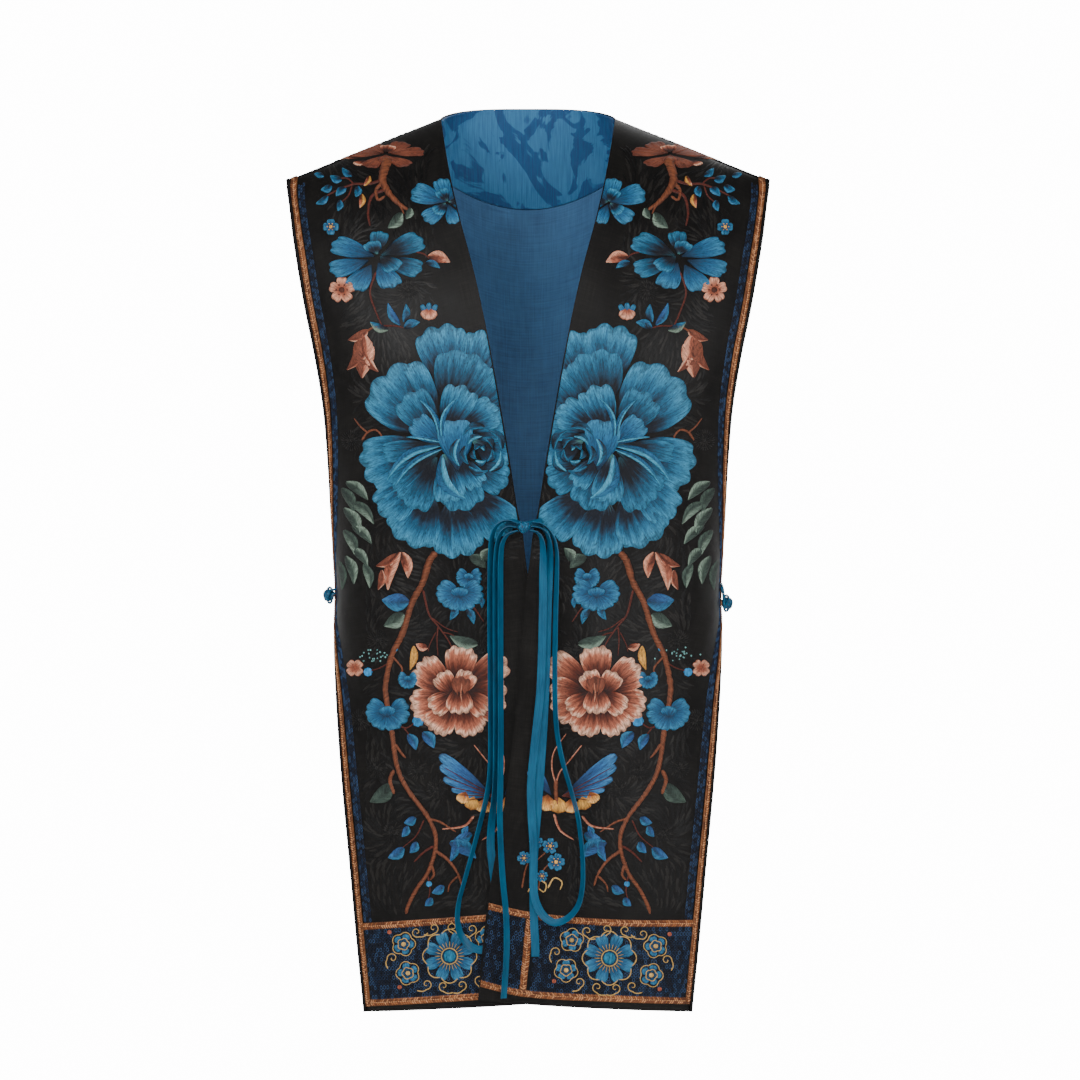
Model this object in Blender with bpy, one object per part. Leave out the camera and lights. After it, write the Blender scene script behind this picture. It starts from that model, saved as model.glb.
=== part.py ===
"""Long open silk waistcoat on a hollow form: fronts, back, lining, trim, side toggles and tie.

Metres, +Z up, the front faces -Y. The origin is the middle of the neck, level with the neck ends
of the shoulder seams.
"""

import math
from bisect import bisect_right
from collections import namedtuple

import bmesh
import bpy
from mathutils import Matrix, Vector

MM = 0.001

# Driving sizes, in millimetres

LENGTH_AT_FRONT_EDGE = 770.0
LENGTH_AT_SIDE = 783.0
FRONT_WIDTH = 190.0
BACK_WIDTH = 400.0
NECK_HALF_WIDTH = 77.0
NECK_RISE_AT_BACK = 11.4
NECK_DEPTH_AT_BACK = 42.0
SHOULDER_HALF_WIDTH = 212.5
SHOULDER_DROP = 55.4
SHOULDER_SEAM_BACK = 10.0
WALL = 1.6
SEAM_GAP = 0.3
TRIM_LIFT = 0.5
LINING_LIFT = 0.6
LINING_WALL = 1.0
FACING_DEPTH = 76.0
FACING_HALF_WIDTH = 117.0
BRAID_WIDTH = 6.0
BRAID_WALL = 0.8
BINDING_WIDTH = 3.2
EDGE_LINES = (3.35, 9.65)
SEAM_ZONE = 120.0
CREASE_LEANS_OVER = 300.0
PUSH_SIDEWAYS = 0.6
BINDING_WALL = 1.0
BAND_WALL = 0.6
LAP_RISE = 4.5
LAP_STARTS = 360.0
LAP_FULL = 404.0
LAP_EASE = 40.0
PETAL_RAISE = 0.9
RIBBON_WIDTH = 7.0
RIBBON_WALL = 0.8
ROUNDNESS = 2.3
SHOULDER_ROUND = 52.0
FRONT_COLUMNS = 10
PANEL_ROWS = 28
WAIST = (0.28, 0.68)
LINING_ABOVE_HEM = 12.0
NAPE_ROUND = 90.0
ANGLE_STEPS = 48
FACING_END_RISE = 0.30
FACING_END_MARGIN = 0.01
HEM_CURVE = 6.0

Section = namedtuple("Section", "drop half_width front_depth back_depth front_wrap back_wrap back_tuck")

SECTIONS = (
    Section(0, 214.0, 60, 62, 90, 90, 0.0),
    Section(30, 214.0, 70, 72, 90, 90, 0.0),
    Section(55, 212.5, 78, 78, 88, 88, 0.0),
    Section(80, 209.0, 85, 86, 74, 74, 1.0),
    Section(112, 204.5, 93, 93, 66, 65, 2.5),
    Section(165, 195.0, 107, 100, 62, 60, 3.0),
    Section(213, 185.0, 115, 101, 61, 59, 3.0),
    Section(256, 178.0, 116, 98, 64, 61, 3.0),
    Section(300, 174.5, 112, 93, 71, 67, 2.5),
    Section(345, 172.5, 106, 88, 81, 76, 1.5),
    Section(378, 171.0, 102, 86, 89, 81, 0.5),
    Section(412, 169.5, 100, 86, 94, 83, 0.0),
    Section(440, 169.5, 100, 88, 92.5, 83, 0.0),
    Section(475, 169.0, 100, 91, 82, 74, 1.5),
    Section(520, 166.5, 100, 94, 70, 65, 3.0),
    Section(580, 162.0, 98, 94, 64, 61, 4.0),
    Section(660, 154.5, 95, 91, 61, 59, 4.0),
    Section(720, 149.0, 92, 88, 60, 58, 4.0),
    Section(785, 142.5, 89, 85, 60, 58, 4.0),
)

# Where a front's own edge lies beside the middle. Past the middle, where the fronts lap, it is negative.

EdgeStep = namedtuple("EdgeStep", "drop beside")

FRONT_EDGE = (
    EdgeStep(0, 77.0),
    EdgeStep(48, 69.0),
    EdgeStep(92, 59.0),
    EdgeStep(137, 47.0),
    EdgeStep(186, 36.3),
    EdgeStep(238, 26.6),
    EdgeStep(300, 16.0),
    EdgeStep(347, 8.6),
    EdgeStep(366, 4.4),
    EdgeStep(390, 1.6),
    EdgeStep(407, -0.8),
    EdgeStep(500, -8.5),
    EdgeStep(583, -17.6),
    EdgeStep(691, -35.0),
    EdgeStep(785, -44.0),
)

# Soft creases: a trough across the cloth that deepens towards the hem. Across is a share of the width.

Crease = namedtuple("Crease", "across width depth starts full lean")

FRONT_CREASES = (
    Crease(0.60, 26.0, 2.4, 470.0, 690.0, 0.04),
    Crease(0.80, 20.0, -1.6, 500.0, 740.0, 0.02),
    Crease(0.93, 16.0, 1.6, 300.0, 400.0, -0.10),
)
BACK_CREASES = (
    Crease(0.24, 30.0, 2.2, 430.0, 680.0, 0.02),
    Crease(0.40, 26.0, -2.0, 480.0, 730.0, 0.01),
    Crease(0.55, 34.0, 3.0, 410.0, 640.0, -0.01),
    Crease(0.76, 28.0, 2.0, 450.0, 700.0, -0.02),
)

# Padded flowers, raised in the fronts' outer points: the middle, the half sizes and the number of petals.

Flower = namedtuple("Flower", "beside drop half_width half_height petals")

PADDED_FLOWERS = (
    Flower(78.0, 290.0, 66.0, 96.0, 9),
    Flower(60.0, 503.0, 40.0, 33.0, 8),
    Flower(132.0, 127.0, 40.0, 26.0, 6),
)

# Heights of the trim above the hem, by share of the front's width from its own edge

HemStep = namedtuple("HemStep", "across low_braid top_braid")

HEM_FRONT_LEFT = (
    HemStep(0.0, 15.0, 82.0),
    HemStep(0.2, 9.5, 77.0),
    HemStep(0.55, 9.5, 75.0),
    HemStep(1.0, 9.5, 77.5),
)
HEM_FRONT_RIGHT = (HemStep(0.0, 10.5, 78.0), HemStep(0.45, 9.5, 76.5), HemStep(1.0, 7.5, 74.0))
HEM_BACK = (HemStep(0.0, 8.5, 75.0), HemStep(1.0, 8.5, 75.0))
LAP_BRAID_FROM_EDGE = 36.5

# Tie and toggles

KNOT_BESIDE = -3.5
KNOT_DROP = 360.0
KNOT_STAND = 6.5
KNOT_HALF_SIZES = (6.0, 5.2, 5.2)
TOGGLE_BALL_HALF_SIZES = (4.4, 4.4, 4.9)
TOGGLE_BALL_STAND = 6.3
TOGGLE_LOOP_RADIUS = 1.1
TOGGLE_STEM_RADIUS = 1.2

Toggle = namedtuple("Toggle", "name side drop slant")

TOGGLES = (
    Toggle("right", -1, 420.0, 1.0),
    Toggle("left", 1, 427.0, 13.0),
)

# Both cords of a toggle: distance in from the edge, sideways from the cord's middle, height out.

CordStep = namedtuple("CordStep", "inward sideways lift")
EyeStep = namedtuple("EyeStep", "behind sideways out")

LOOP_ON_FRONT = (CordStep(15.0, 1.7, 1.7), CordStep(11.0, 2.0, 2.7), CordStep(6.0, 3.2, 3.1))
LOOP_ROUND_BALL = (
    EyeStep(-4.0, 5.8, 4.4),
    EyeStep(0.0, 6.9, 5.2),
    EyeStep(4.0, 6.4, 6.2),
    EyeStep(6.6, 3.7, 7.2),
    EyeStep(7.4, 0.0, 7.4),
)
STEM_ON_BACK = (
    CordStep(2.3, 0.0, 4.2),
    CordStep(5.0, 0.0, 3.6),
    CordStep(9.0, 0.0, 3.1),
    CordStep(12.0, 0.0, 2.5),
    CordStep(15.0, 0.0, 1.8),
)

# Ribbon routes: beside the middle, below the neck, distance out from the body and turn of the face.

Strand = namedtuple("Strand", "beside drop stand turn")

LOOP_RIGHT_FRONT = (
    Strand(-8.7, 356.9, 6.5, 85),
    Strand(-15.5, 354.4, 6.5, 82),
    Strand(-22.5, 355.4, 6.3, 75),
    Strand(-28.4, 360.5, 6.2, 68),
    Strand(-31.4, 370.0, 5.8, 60),
    Strand(-32.5, 385.0, 5.4, 56),
    Strand(-32.8, 405.0, 5.2, 54),
    Strand(-32.8, 440.0, 5.2, 53),
    Strand(-32.4, 500.0, 5.2, 53),
    Strand(-32.2, 558.0, 5.0, 53),
    Strand(-34.8, 588.0, 4.8, 56),
    Strand(-44.0, 626.0, 4.8, 62),
    Strand(-55.0, 666.0, 4.8, 64),
    Strand(-59.8, 684.0, 5.4, 62),
    Strand(-61.2, 699.0, 5.6, 56),
    Strand(-59.0, 711.5, 5.2, 44),
    Strand(-53.0, 720.5, 4.0, 24),
    Strand(-46.8, 725.0, 2.3, 4),
    Strand(-40.5, 726.4, 2.1, 0),
    Strand(-34.0, 724.4, 2.1, 0),
    Strand(-29.4, 717.5, 2.1, 0),
    Strand(-27.4, 706.0, 2.1, 0),
    Strand(-27.0, 690.0, 2.1, 0),
    Strand(-28.4, 670.0, 2.1, 0),
    Strand(-30.6, 652.0, 2.1, 0),
    Strand(-32.2, 636.0, 2.3, -4),
    Strand(-31.6, 618.0, 3.6, -28),
    Strand(-29.8, 600.0, 4.8, -46),
    Strand(-28.2, 575.0, 5.0, -53),
    Strand(-28.0, 512.0, 5.2, -53),
    Strand(-28.2, 440.0, 5.2, -53),
    Strand(-28.2, 405.0, 5.2, -54),
    Strand(-27.7, 386.0, 5.4, -57),
    Strand(-26.2, 372.5, 5.8, -62),
    Strand(-22.5, 363.6, 6.2, -70),
    Strand(-16.5, 359.6, 6.4, -79),
    Strand(-10.5, 360.4, 6.5, -86),
)
TAIL_RIGHT_FRONT = (
    Strand(-8.5, 363.1, 6.5, 85),
    Strand(-13.2, 364.4, 6.4, 80),
    Strand(-18.6, 367.4, 6.1, 72),
    Strand(-22.4, 375.5, 5.7, 62),
    Strand(-23.6, 388.0, 5.4, 56),
    Strand(-23.8, 405.0, 5.2, 54),
    Strand(-23.8, 440.0, 5.2, 53),
    Strand(-23.6, 512.0, 5.4, 53),
    Strand(-23.6, 556.0, 6.2, 52),
    Strand(-24.0, 586.0, 8.4, 50),
    Strand(-24.4, 612.0, 8.8, 50),
    Strand(-23.4, 640.0, 8.8, 50),
    Strand(-21.6, 668.0, 9.2, 50),
    Strand(-19.4, 690.0, 9.8, 50),
    Strand(-18.4, 712.0, 9.8, 48),
    Strand(-18.8, 735.0, 9.6, 48),
    Strand(-20.0, 753.0, 10.0, 48),
    Strand(-21.2, 768.0, 10.0, 48),
)
LOOP_LEFT_FRONT = (
    Strand(2.0, 362.9, 6.5, -85),
    Strand(6.6, 363.8, 6.4, -80),
    Strand(10.8, 367.2, 6.4, -70),
    Strand(13.0, 375.0, 6.6, -55),
    Strand(13.6, 388.0, 7.2, -35),
    Strand(13.4, 405.0, 7.4, -14),
    Strand(13.2, 424.0, 7.3, 0),
    Strand(12.4, 465.0, 7.3, 0),
    Strand(10.6, 505.0, 7.3, 0),
    Strand(5.6, 552.0, 7.3, 0),
    Strand(2.8, 584.0, 7.3, 0),
    Strand(3.4, 610.0, 7.3, 0),
    Strand(5.0, 636.0, 7.4, 0),
    Strand(4.9, 662.0, 8.0, 0),
    Strand(5.6, 679.0, 8.6, 0),
    Strand(9.8, 691.0, 8.7, 4),
    Strand(15.8, 698.6, 8.7, 14),
    Strand(23.6, 702.6, 8.9, 30),
    Strand(32.4, 700.0, 9.3, 42),
    Strand(39.4, 694.4, 9.6, 50),
    Strand(44.6, 685.6, 9.6, 56),
    Strand(47.2, 674.0, 9.3, 60),
    Strand(48.0, 662.0, 9.0, 61),
    Strand(47.6, 644.0, 9.0, 62),
    Strand(46.0, 628.0, 9.0, 62),
    Strand(43.6, 611.0, 9.0, 62),
    Strand(38.6, 591.0, 9.2, 62),
    Strand(32.6, 571.0, 9.2, 61),
    Strand(28.4, 554.0, 9.4, 60),
    Strand(25.4, 536.0, 9.8, 59),
    Strand(23.8, 512.0, 9.8, 58),
    Strand(23.6, 477.0, 9.6, 58),
    Strand(24.0, 452.0, 9.2, 58),
    Strand(24.6, 424.0, 9.0, 59),
    Strand(25.4, 400.0, 8.6, 62),
    Strand(25.4, 384.0, 7.8, 66),
    Strand(23.4, 371.5, 7.2, 71),
    Strand(18.6, 362.4, 6.8, 76),
    Strand(11.6, 356.9, 6.6, 81),
    Strand(4.0, 355.6, 6.5, 85),
)
TAIL_LEFT_FRONT = (
    Strand(3.2, 359.6, 6.5, -86),
    Strand(9.4, 360.4, 6.4, -83),
    Strand(14.8, 363.2, 6.2, -76),
    Strand(18.2, 369.4, 5.9, -66),
    Strand(19.4, 380.0, 5.8, -50),
    Strand(19.0, 393.0, 5.8, -28),
    Strand(18.2, 408.0, 5.9, -8),
    Strand(17.4, 424.0, 5.9, 0),
    Strand(15.8, 480.0, 5.9, 0),
    Strand(14.2, 520.0, 5.9, 0),
    Strand(11.6, 562.0, 5.9, 0),
    Strand(9.0, 598.0, 5.9, 0),
    Strand(6.4, 630.0, 5.9, 0),
    Strand(5.0, 656.0, 6.2, 0),
    Strand(4.9, 680.0, 7.0, 0),
    Strand(5.4, 702.0, 7.0, 0),
    Strand(6.4, 722.0, 6.6, 0),
    Strand(6.6, 732.0, 6.5, 0),
)
ROOT_RIGHT_FRONT = (
    Strand(-19.0, 357.0, 1.5, 0),
    Strand(-13.0, 357.0, 1.5, 0),
    Strand(-10.0, 357.6, 1.6, 0),
    Strand(-6.6, 358.5, 1.75, 0),
)
ROOT_LEFT_FRONT = (
    Strand(12.5, 356.0, 1.6, 0),
    Strand(8.5, 356.6, 1.6, 0),
    Strand(5.0, 357.6, 1.65, 0),
    Strand(0.15, 358.4, 1.7, 0),
)


def cleared_scene():
    for thing in list(bpy.data.objects):
        bpy.data.objects.remove(thing, do_unlink=True)


def finish_of(name, colour, roughness, metallic=0.0):
    """A Principled material with one colour, roughness and metallic value."""
    made = bpy.data.materials.new(name)
    made.use_nodes = True
    shader = made.node_tree.nodes["Principled BSDF"]
    shader.inputs["Base Color"].default_value = (*colour, 1.0)
    shader.inputs["Roughness"].default_value = roughness
    shader.inputs["Metallic"].default_value = metallic
    return made


def eased(share):
    """0 to 1 with level ends."""
    share = max(0.0, min(1.0, share))
    return share * share * (3.0 - 2.0 * share)


def mixed(a, b, share):
    return a + (b - a) * share


def along(table, column, at):
    """A smooth value of one column at a drop or a share, through every row of the table."""
    keys = [row[0] for row in table]
    values = [getattr(row, column) for row in table]
    last = len(keys) - 1
    at = max(keys[0], min(keys[last], at))
    k = max(0, min(last - 1, bisect_right(keys, at) - 1))

    def slope(i):
        before, after = max(0, i - 1), min(last, i + 1)
        return (values[after] - values[before]) / (keys[after] - keys[before])

    span = keys[k + 1] - keys[k]
    t = (at - keys[k]) / span
    start = (2 * t**3 - 3 * t**2 + 1) * values[k] + (t**3 - 2 * t**2 + t) * span * slope(k)
    end = (3 * t**2 - 2 * t**3) * values[k + 1] + (t**3 - t**2) * span * slope(k + 1)
    return start + end


def power(value, exponent):
    return math.copysign(abs(value) ** exponent, value)


class Panel:
    """A grid of points on a cut piece. u runs across it and v from its top to its hem, both from 0 to 1."""

    def __init__(self, across, down):
        self.across, self.down = across, down
        self.points = [[self.place(u, v) for u in across] for v in down]
        self.normals = [[self.normal(i, j) for j in range(len(across))] for i in range(len(down))]

    def normal(self, i, j):
        """The outward direction at a grid point, from its neighbours."""
        rows, columns = len(self.down) - 1, len(self.across) - 1
        down = self.points[min(rows, i + 1)][j] - self.points[max(0, i - 1)][j]
        right = self.points[i][min(columns, j + 1)] - self.points[i][max(0, j - 1)]
        found = down.cross(right).normalized() * self.outward
        if i == 0:
            level = Vector((found.x, 0.0, found.z)).normalized()
            found = found.lerp(level, self.seam_share(self.across[j])).normalized()
        return found

    def corner(self, u, v):
        j = max(0, min(len(self.across) - 2, bisect_right(self.across, u) - 1))
        i = max(0, min(len(self.down) - 2, bisect_right(self.down, v) - 1))
        across = (u - self.across[j]) / (self.across[j + 1] - self.across[j])
        down = (v - self.down[i]) / (self.down[i + 1] - self.down[i])
        return i, j, across, down

    def at(self, u, v, lift):
        """A point of the cloth, moved out by lift millimetres."""
        i, j, across, down = self.corner(u, v)

        def read(grid):
            top = grid[i][j].lerp(grid[i][j + 1], across)
            low = grid[i + 1][j].lerp(grid[i + 1][j + 1], across)
            return top.lerp(low, down)

        return self.own_side(read(self.points) + read(self.normals).normalized() * lift * MM)

    def own_side(self, point):
        """Keeps a point near the shoulder seam on its own side of the seam's upright plane."""
        beside, drop = abs(point.x) / MM, -point.z / MM
        if beside < NECK_HALF_WIDTH or drop > SEAM_ZONE:
            return point
        past = (beside - NECK_HALF_WIDTH) / (SHOULDER_HALF_WIDTH - NECK_HALF_WIDTH)
        plane = (SHOULDER_SEAM_BACK * (1.0 - past) + self.seam_side * SEAM_GAP / 2) * MM
        nearest = max if self.seam_side > 0 else min
        return Vector((point.x, nearest(point.y, plane), point.z))

    def shares(self, u, v):
        """The share of a row's length at u. Near a side edge u counts millimetres of the nominal width."""
        table, length = self.row(v)
        near = EDGE_LINES[-1] / self.nominal_width
        real = EDGE_LINES[-1] / length
        if u > 1.0 - near:
            return table, 1.0 - (1.0 - u) * self.nominal_width / length
        if u < near and self.both_sides:
            return table, u * self.nominal_width / length
        start_near, start_real = (near, real) if self.both_sides else (0.0, 0.0)
        return table, start_real + (u - start_near) / (1.0 - near - start_near) * (1.0 - real - start_real)

    def crossing(self, lines, low, high):
        """The grid's own lines between two values, with both ends."""
        return [low] + [line for line in lines if low + 1e-4 < line < high - 1e-4] + [high]


def section_point(angle, drop, depth_column, half_width, wrap):
    """Where the body's section at this drop lies, seen at an angle from the middle of its face."""
    half = half_width / power(math.sin(math.radians(min(90.0, wrap))), 2 / ROUNDNESS)
    turn = math.radians(angle)
    beside = half * power(math.sin(turn), 2 / ROUNDNESS)
    out = along(SECTIONS, depth_column, drop) * power(math.cos(turn), 2 / ROUNDNESS)
    return beside, out, half


def angle_at(beside, half):
    return math.degrees(math.asin(power(max(-1.0, min(1.0, beside / half)), ROUNDNESS / 2)))


def even_angles(start, end, spot, count=ANGLE_STEPS):
    """A table of (share of a row's length, angle), and the length in millimetres."""
    angles = [mixed(start, end, k / count) for k in range(count + 1)]
    places = [spot(angle, k / count) for k, angle in enumerate(angles)]
    total, lengths = 0.0, [0.0]
    for a, b in zip(places, places[1:]):
        total += math.dist(a, b)
        lengths.append(total)
    return [(length / total, angle) for length, angle in zip(lengths, angles)], total


def read_angles(table, share):
    k = max(0, min(len(table) - 2, bisect_right([row[0] for row in table], share) - 1))
    (low, a), (high, b) = table[k], table[k + 1]
    return mixed(a, b, (share - low) / (high - low))


def shoulder_ramp(below_seam):
    """How much of its full depth the body has reached, this far below the shoulder seam."""
    return (1.0 - math.exp(-max(0.0, below_seam) / SHOULDER_ROUND)) ** 0.75


def creased(creases, u, drop, width):
    """How far the creases push the cloth in at this place, in millimetres."""
    total = 0.0
    for crease in creases:
        grown = eased((drop - crease.starts) / (crease.full - crease.starts))
        middle = crease.across + crease.lean * (drop - crease.starts) / CREASE_LEANS_OVER
        total += crease.depth * grown * math.exp(-(((u - middle) * width / crease.width) ** 2))
    return total


class Front(Panel):
    """A front, with u from its own edge to the side. side is +1 on the left one, which laps over."""

    nominal_width = FRONT_WIDTH
    both_sides = False
    seam_side = -1

    def __init__(self, side, across, down):
        self.side, self.outward = side, side
        self.rows = {}
        super().__init__(across, down)

    def seam_share(self, u):
        return 1.0

    def shoulder(self, u):
        return SHOULDER_DROP * u

    def hem(self, u):
        return mixed(LENGTH_AT_FRONT_EDGE, LENGTH_AT_SIDE, u**0.8)

    def drop(self, u, v):
        return mixed(self.shoulder(u), self.hem(u), v)

    def row(self, v):
        """The angles across one row of the front, and its length."""
        if v not in self.rows:
            edge_drop, side_drop = self.drop(0.0, v), self.drop(1.0, v)

            def spot(angle, share):
                drop = mixed(edge_drop, side_drop, share)
                wrap = along(SECTIONS, "front_wrap", drop)
                half_width = along(SECTIONS, "half_width", drop)
                beside, out, _ = section_point(angle, drop, "front_depth", half_width, wrap)
                return beside, out * shoulder_ramp(v * LENGTH_AT_SIDE)

            half = section_point(
                0.0,
                edge_drop,
                "front_depth",
                along(SECTIONS, "half_width", edge_drop),
                along(SECTIONS, "front_wrap", edge_drop),
            )[2]
            start = angle_at(along(FRONT_EDGE, "beside", edge_drop), half)
            end = along(SECTIONS, "front_wrap", side_drop)
            self.rows[v] = even_angles(start, end, spot)
        return self.rows[v]

    def place(self, u, v):
        angle = read_angles(*self.shares(u, v))
        drop = self.drop(u, v)
        wrap = along(SECTIONS, "front_wrap", drop)
        beside, out, _ = section_point(angle, drop, "front_depth", along(SECTIONS, "half_width", drop), wrap)
        seam = SHOULDER_SEAM_BACK * (1.0 - u) - SEAM_GAP / 2
        y = mixed(seam, -out, shoulder_ramp(drop - self.shoulder(u)))
        turn = math.radians(angle)
        push = -creased(FRONT_CREASES, u, drop, FRONT_WIDTH) + self.lap_rise(beside, drop)
        beside += push * math.sin(turn) * PUSH_SIDEWAYS
        y -= push * math.cos(turn)
        return Vector((self.side * beside, y, -drop)) * MM

    def lap_rise(self, beside, drop):
        """How far the lapping front stands out, to clear the front below it."""
        if self.side < 0:
            return 0.0
        covered = -along(FRONT_EDGE, "beside", drop)
        across = eased((covered + 2 * LAP_EASE + 5.0 - beside) / LAP_EASE)
        return LAP_RISE * across * eased((drop - LAP_STARTS) / (LAP_FULL - LAP_STARTS))

    def petal_raise(self, u, v):
        """The height of padded embroidery over the cloth, in millimetres."""
        point = self.at(u, v, 0.0) / MM
        beside, drop = point.x * self.side, -point.z
        height = 0.0
        for flower in PADDED_FLOWERS:
            dx, dz = (beside - flower.beside) / flower.half_width, (drop - flower.drop) / flower.half_height
            around, reach = math.atan2(dz, dx), math.hypot(dx, dz)
            rim = 1.0 + 0.06 * math.cos(flower.petals * around)
            body = eased((rim - reach) / 0.18)
            rings = 0.75 + 0.25 * math.cos(reach * 3.0 * math.pi)
            height = max(height, PETAL_RAISE * body * rings)
        return height


class Back(Panel):
    """The back, with u from the wearer's right side to the left."""

    nominal_width = BACK_WIDTH
    both_sides = True
    seam_side = 1

    def __init__(self, across, down):
        self.outward = -1
        self.rows = {}
        super().__init__(across, down)

    def neck_share(self, u):
        """0 at the middle of the neck, 1 at the neck ends of the shoulder seams and past them."""
        return min(1.0, abs(mixed(-SHOULDER_HALF_WIDTH, SHOULDER_HALF_WIDTH, u)) / NECK_HALF_WIDTH)

    def seam_share(self, u):
        return 1.0 if self.neck_share(u) > 0.999 else 0.0

    def top(self, u):
        beside = abs(mixed(-SHOULDER_HALF_WIDTH, SHOULDER_HALF_WIDTH, u))
        past = (beside - NECK_HALF_WIDTH) / (SHOULDER_HALF_WIDTH - NECK_HALF_WIDTH)
        if past >= 0:
            return SHOULDER_DROP * past, SHOULDER_SEAM_BACK * (1.0 - past) + SEAM_GAP / 2
        share = self.neck_share(u)
        rise = NECK_RISE_AT_BACK * (1.0 - share**3) ** 0.6
        return -rise, SHOULDER_SEAM_BACK + SEAM_GAP / 2 + NECK_DEPTH_AT_BACK * math.sqrt(1.0 - share**2)

    def hem(self, u):
        return mixed(LENGTH_AT_SIDE, LENGTH_AT_SIDE - HEM_CURVE, 1.0 - abs(2 * u - 1) ** 2)

    def drop(self, u, v):
        return mixed(self.top(u)[0], self.hem(u), v)

    def half(self, drop):
        return along(SECTIONS, "half_width", drop) - along(SECTIONS, "back_tuck", drop)

    def row(self, v):
        if v not in self.rows:
            side_drop = self.drop(1.0, v)

            def spot(angle, share):
                wrap = along(SECTIONS, "back_wrap", side_drop)
                beside, out, _ = section_point(angle, side_drop, "back_depth", self.half(side_drop), wrap)
                return beside, out * shoulder_ramp(v * LENGTH_AT_SIDE)

            end = along(SECTIONS, "back_wrap", side_drop)
            self.rows[v] = even_angles(-end, end, spot, 2 * ANGLE_STEPS)
        return self.rows[v]

    def place(self, u, v):
        angle = read_angles(*self.shares(u, v))
        drop = self.drop(u, v)
        side_drop = self.drop(1.0, v)
        wrap = along(SECTIONS, "back_wrap", side_drop)
        beside = section_point(angle, side_drop, "back_depth", self.half(side_drop), wrap)[0]
        out = section_point(angle, drop, "back_depth", self.half(drop), wrap)[1]
        top, seam = self.top(u)
        at_nape = 1.0 - math.exp(-(drop - top) / NAPE_ROUND)
        ramp = mixed(at_nape, shoulder_ramp(drop - top), self.neck_share(u) ** 2)
        y = mixed(seam, out, ramp)
        turn = math.radians(angle)
        push = -creased(BACK_CREASES, u, drop, BACK_WIDTH)
        beside += push * math.sin(turn) * PUSH_SIDEWAYS
        y += push * math.cos(turn)
        return Vector((beside, y, -drop)) * MM


def wall(name, finish, skin, lining):
    """A closed sheet between two grids of points, the outside one and the inside one."""
    rows, columns = len(skin) - 1, len(skin[0]) - 1
    shape = bmesh.new()
    bmesh.ops.create_grid(shape, x_segments=columns, y_segments=rows, size=1.0)
    key = shape.verts.layers.int.new("grid place")
    shape.verts.ensure_lookup_table()
    for number, vert in enumerate(shape.verts):
        vert[key] = number
    made = bmesh.ops.extrude_face_region(shape, geom=shape.faces[:], use_keep_orig=True)
    inside = {item for item in made["geom"] if isinstance(item, bmesh.types.BMVert)}
    for vert in shape.verts:
        i, j = divmod(vert[key], columns + 1)
        vert.co = lining[i][j] if vert in inside else skin[i][j]
    bmesh.ops.recalc_face_normals(shape, faces=shape.faces)
    return placed(name, finish, shape)


def placed(name, finish, shape):
    """Puts a finished bmesh into the scene as one named object."""
    mesh = bpy.data.meshes.new(name)
    shape.to_mesh(mesh)
    shape.free()
    mesh.shade_smooth()
    mesh.set_sharp_from_angle(angle=math.radians(40))
    mesh.materials.append(finish)
    thing = bpy.data.objects.new(name, mesh)
    bpy.context.collection.objects.link(thing)
    return thing


def panel_wall(name, finish, panel, raised=None):
    """A cut piece with its wall, and with padding raised in its outer points."""
    skin = [[panel.at(u, v, raised(u, v) if raised else 0.0) for u in panel.across] for v in panel.down]
    inside = [[panel.at(u, v, -WALL) for u in panel.across] for v in panel.down]
    return wall(name, finish, skin, inside)


def laid_on(name, finish, panel, grid, lift, thickness):
    """A piece that lies on a panel. grid gives the (u, v) of its points, row by row."""
    skin = [[panel.at(u, v, lift + thickness) for u, v in row] for row in grid]
    under = [[panel.at(u, v, lift) for u, v in row] for row in grid]
    return wall(name, finish, skin, under)


def side_strip(name, finish, panel, inset, width, thickness, from_start=False, v_end=1.0):
    """A strip down a panel's side edge, inset from it."""
    grid = []
    for v in panel.crossing(panel.down, 0.0, v_end):
        near, far = inset / panel.nominal_width, (inset + width) / panel.nominal_width
        grid.append([(near, v), (far, v)] if from_start else [(1.0 - far, v), (1.0 - near, v)])
    return laid_on(name, finish, panel, grid, TRIM_LIFT, thickness)


def above_hem(panel, u, height):
    """The v of a place that lies this far above the hem."""
    return 1.0 - height / (panel.hem(u) - panel.drop(u, 0.0))


def hem_strip(name, finish, panel, ends, heights, low, high, thickness, lines=1):
    """A strip between two heights above the hem, which low and high give at a share of the width."""
    grid = []
    for line in range(lines + 1):
        row = []
        for u in panel.crossing(panel.across, *ends):
            height = mixed(high(heights, u), low(heights, u), line / lines)
            row.append((u, above_hem(panel, u, height)))
        grid.append(row)
    return laid_on(name, finish, panel, grid, TRIM_LIFT, thickness)


def low_braid(table, u):
    return along(table, "low_braid", u)


def top_braid(table, u):
    return along(table, "top_braid", u)


def hem_trim(tag, panel, table, ends, finishes, stop=None):
    """Both braids above the hem and the band between them."""
    half = BRAID_WIDTH / 2
    for label, centre in (("hem_low_braid", low_braid), ("hem_top_braid", top_braid)):
        hem_strip(
            f"{label}_{tag}",
            finishes["braid"],
            panel,
            ends,
            table,
            lambda t, u, c=centre: c(t, u) - half,
            lambda t, u, c=centre: c(t, u) + half,
            BRAID_WALL,
        )
    pieces = [(f"hem_band_{tag}", ends)]
    if stop:
        pieces = [("hem_band_lap", (ends[0], stop[0])), (f"hem_band_{tag}", (stop[1], ends[1]))]
    for name, reach in pieces:
        hem_strip(
            name,
            finishes["band"],
            panel,
            reach,
            table,
            lambda t, u: low_braid(t, u) + half + SEAM_GAP,
            lambda t, u: top_braid(t, u) - half - SEAM_GAP,
            BAND_WALL,
            lines=2,
        )


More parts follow.
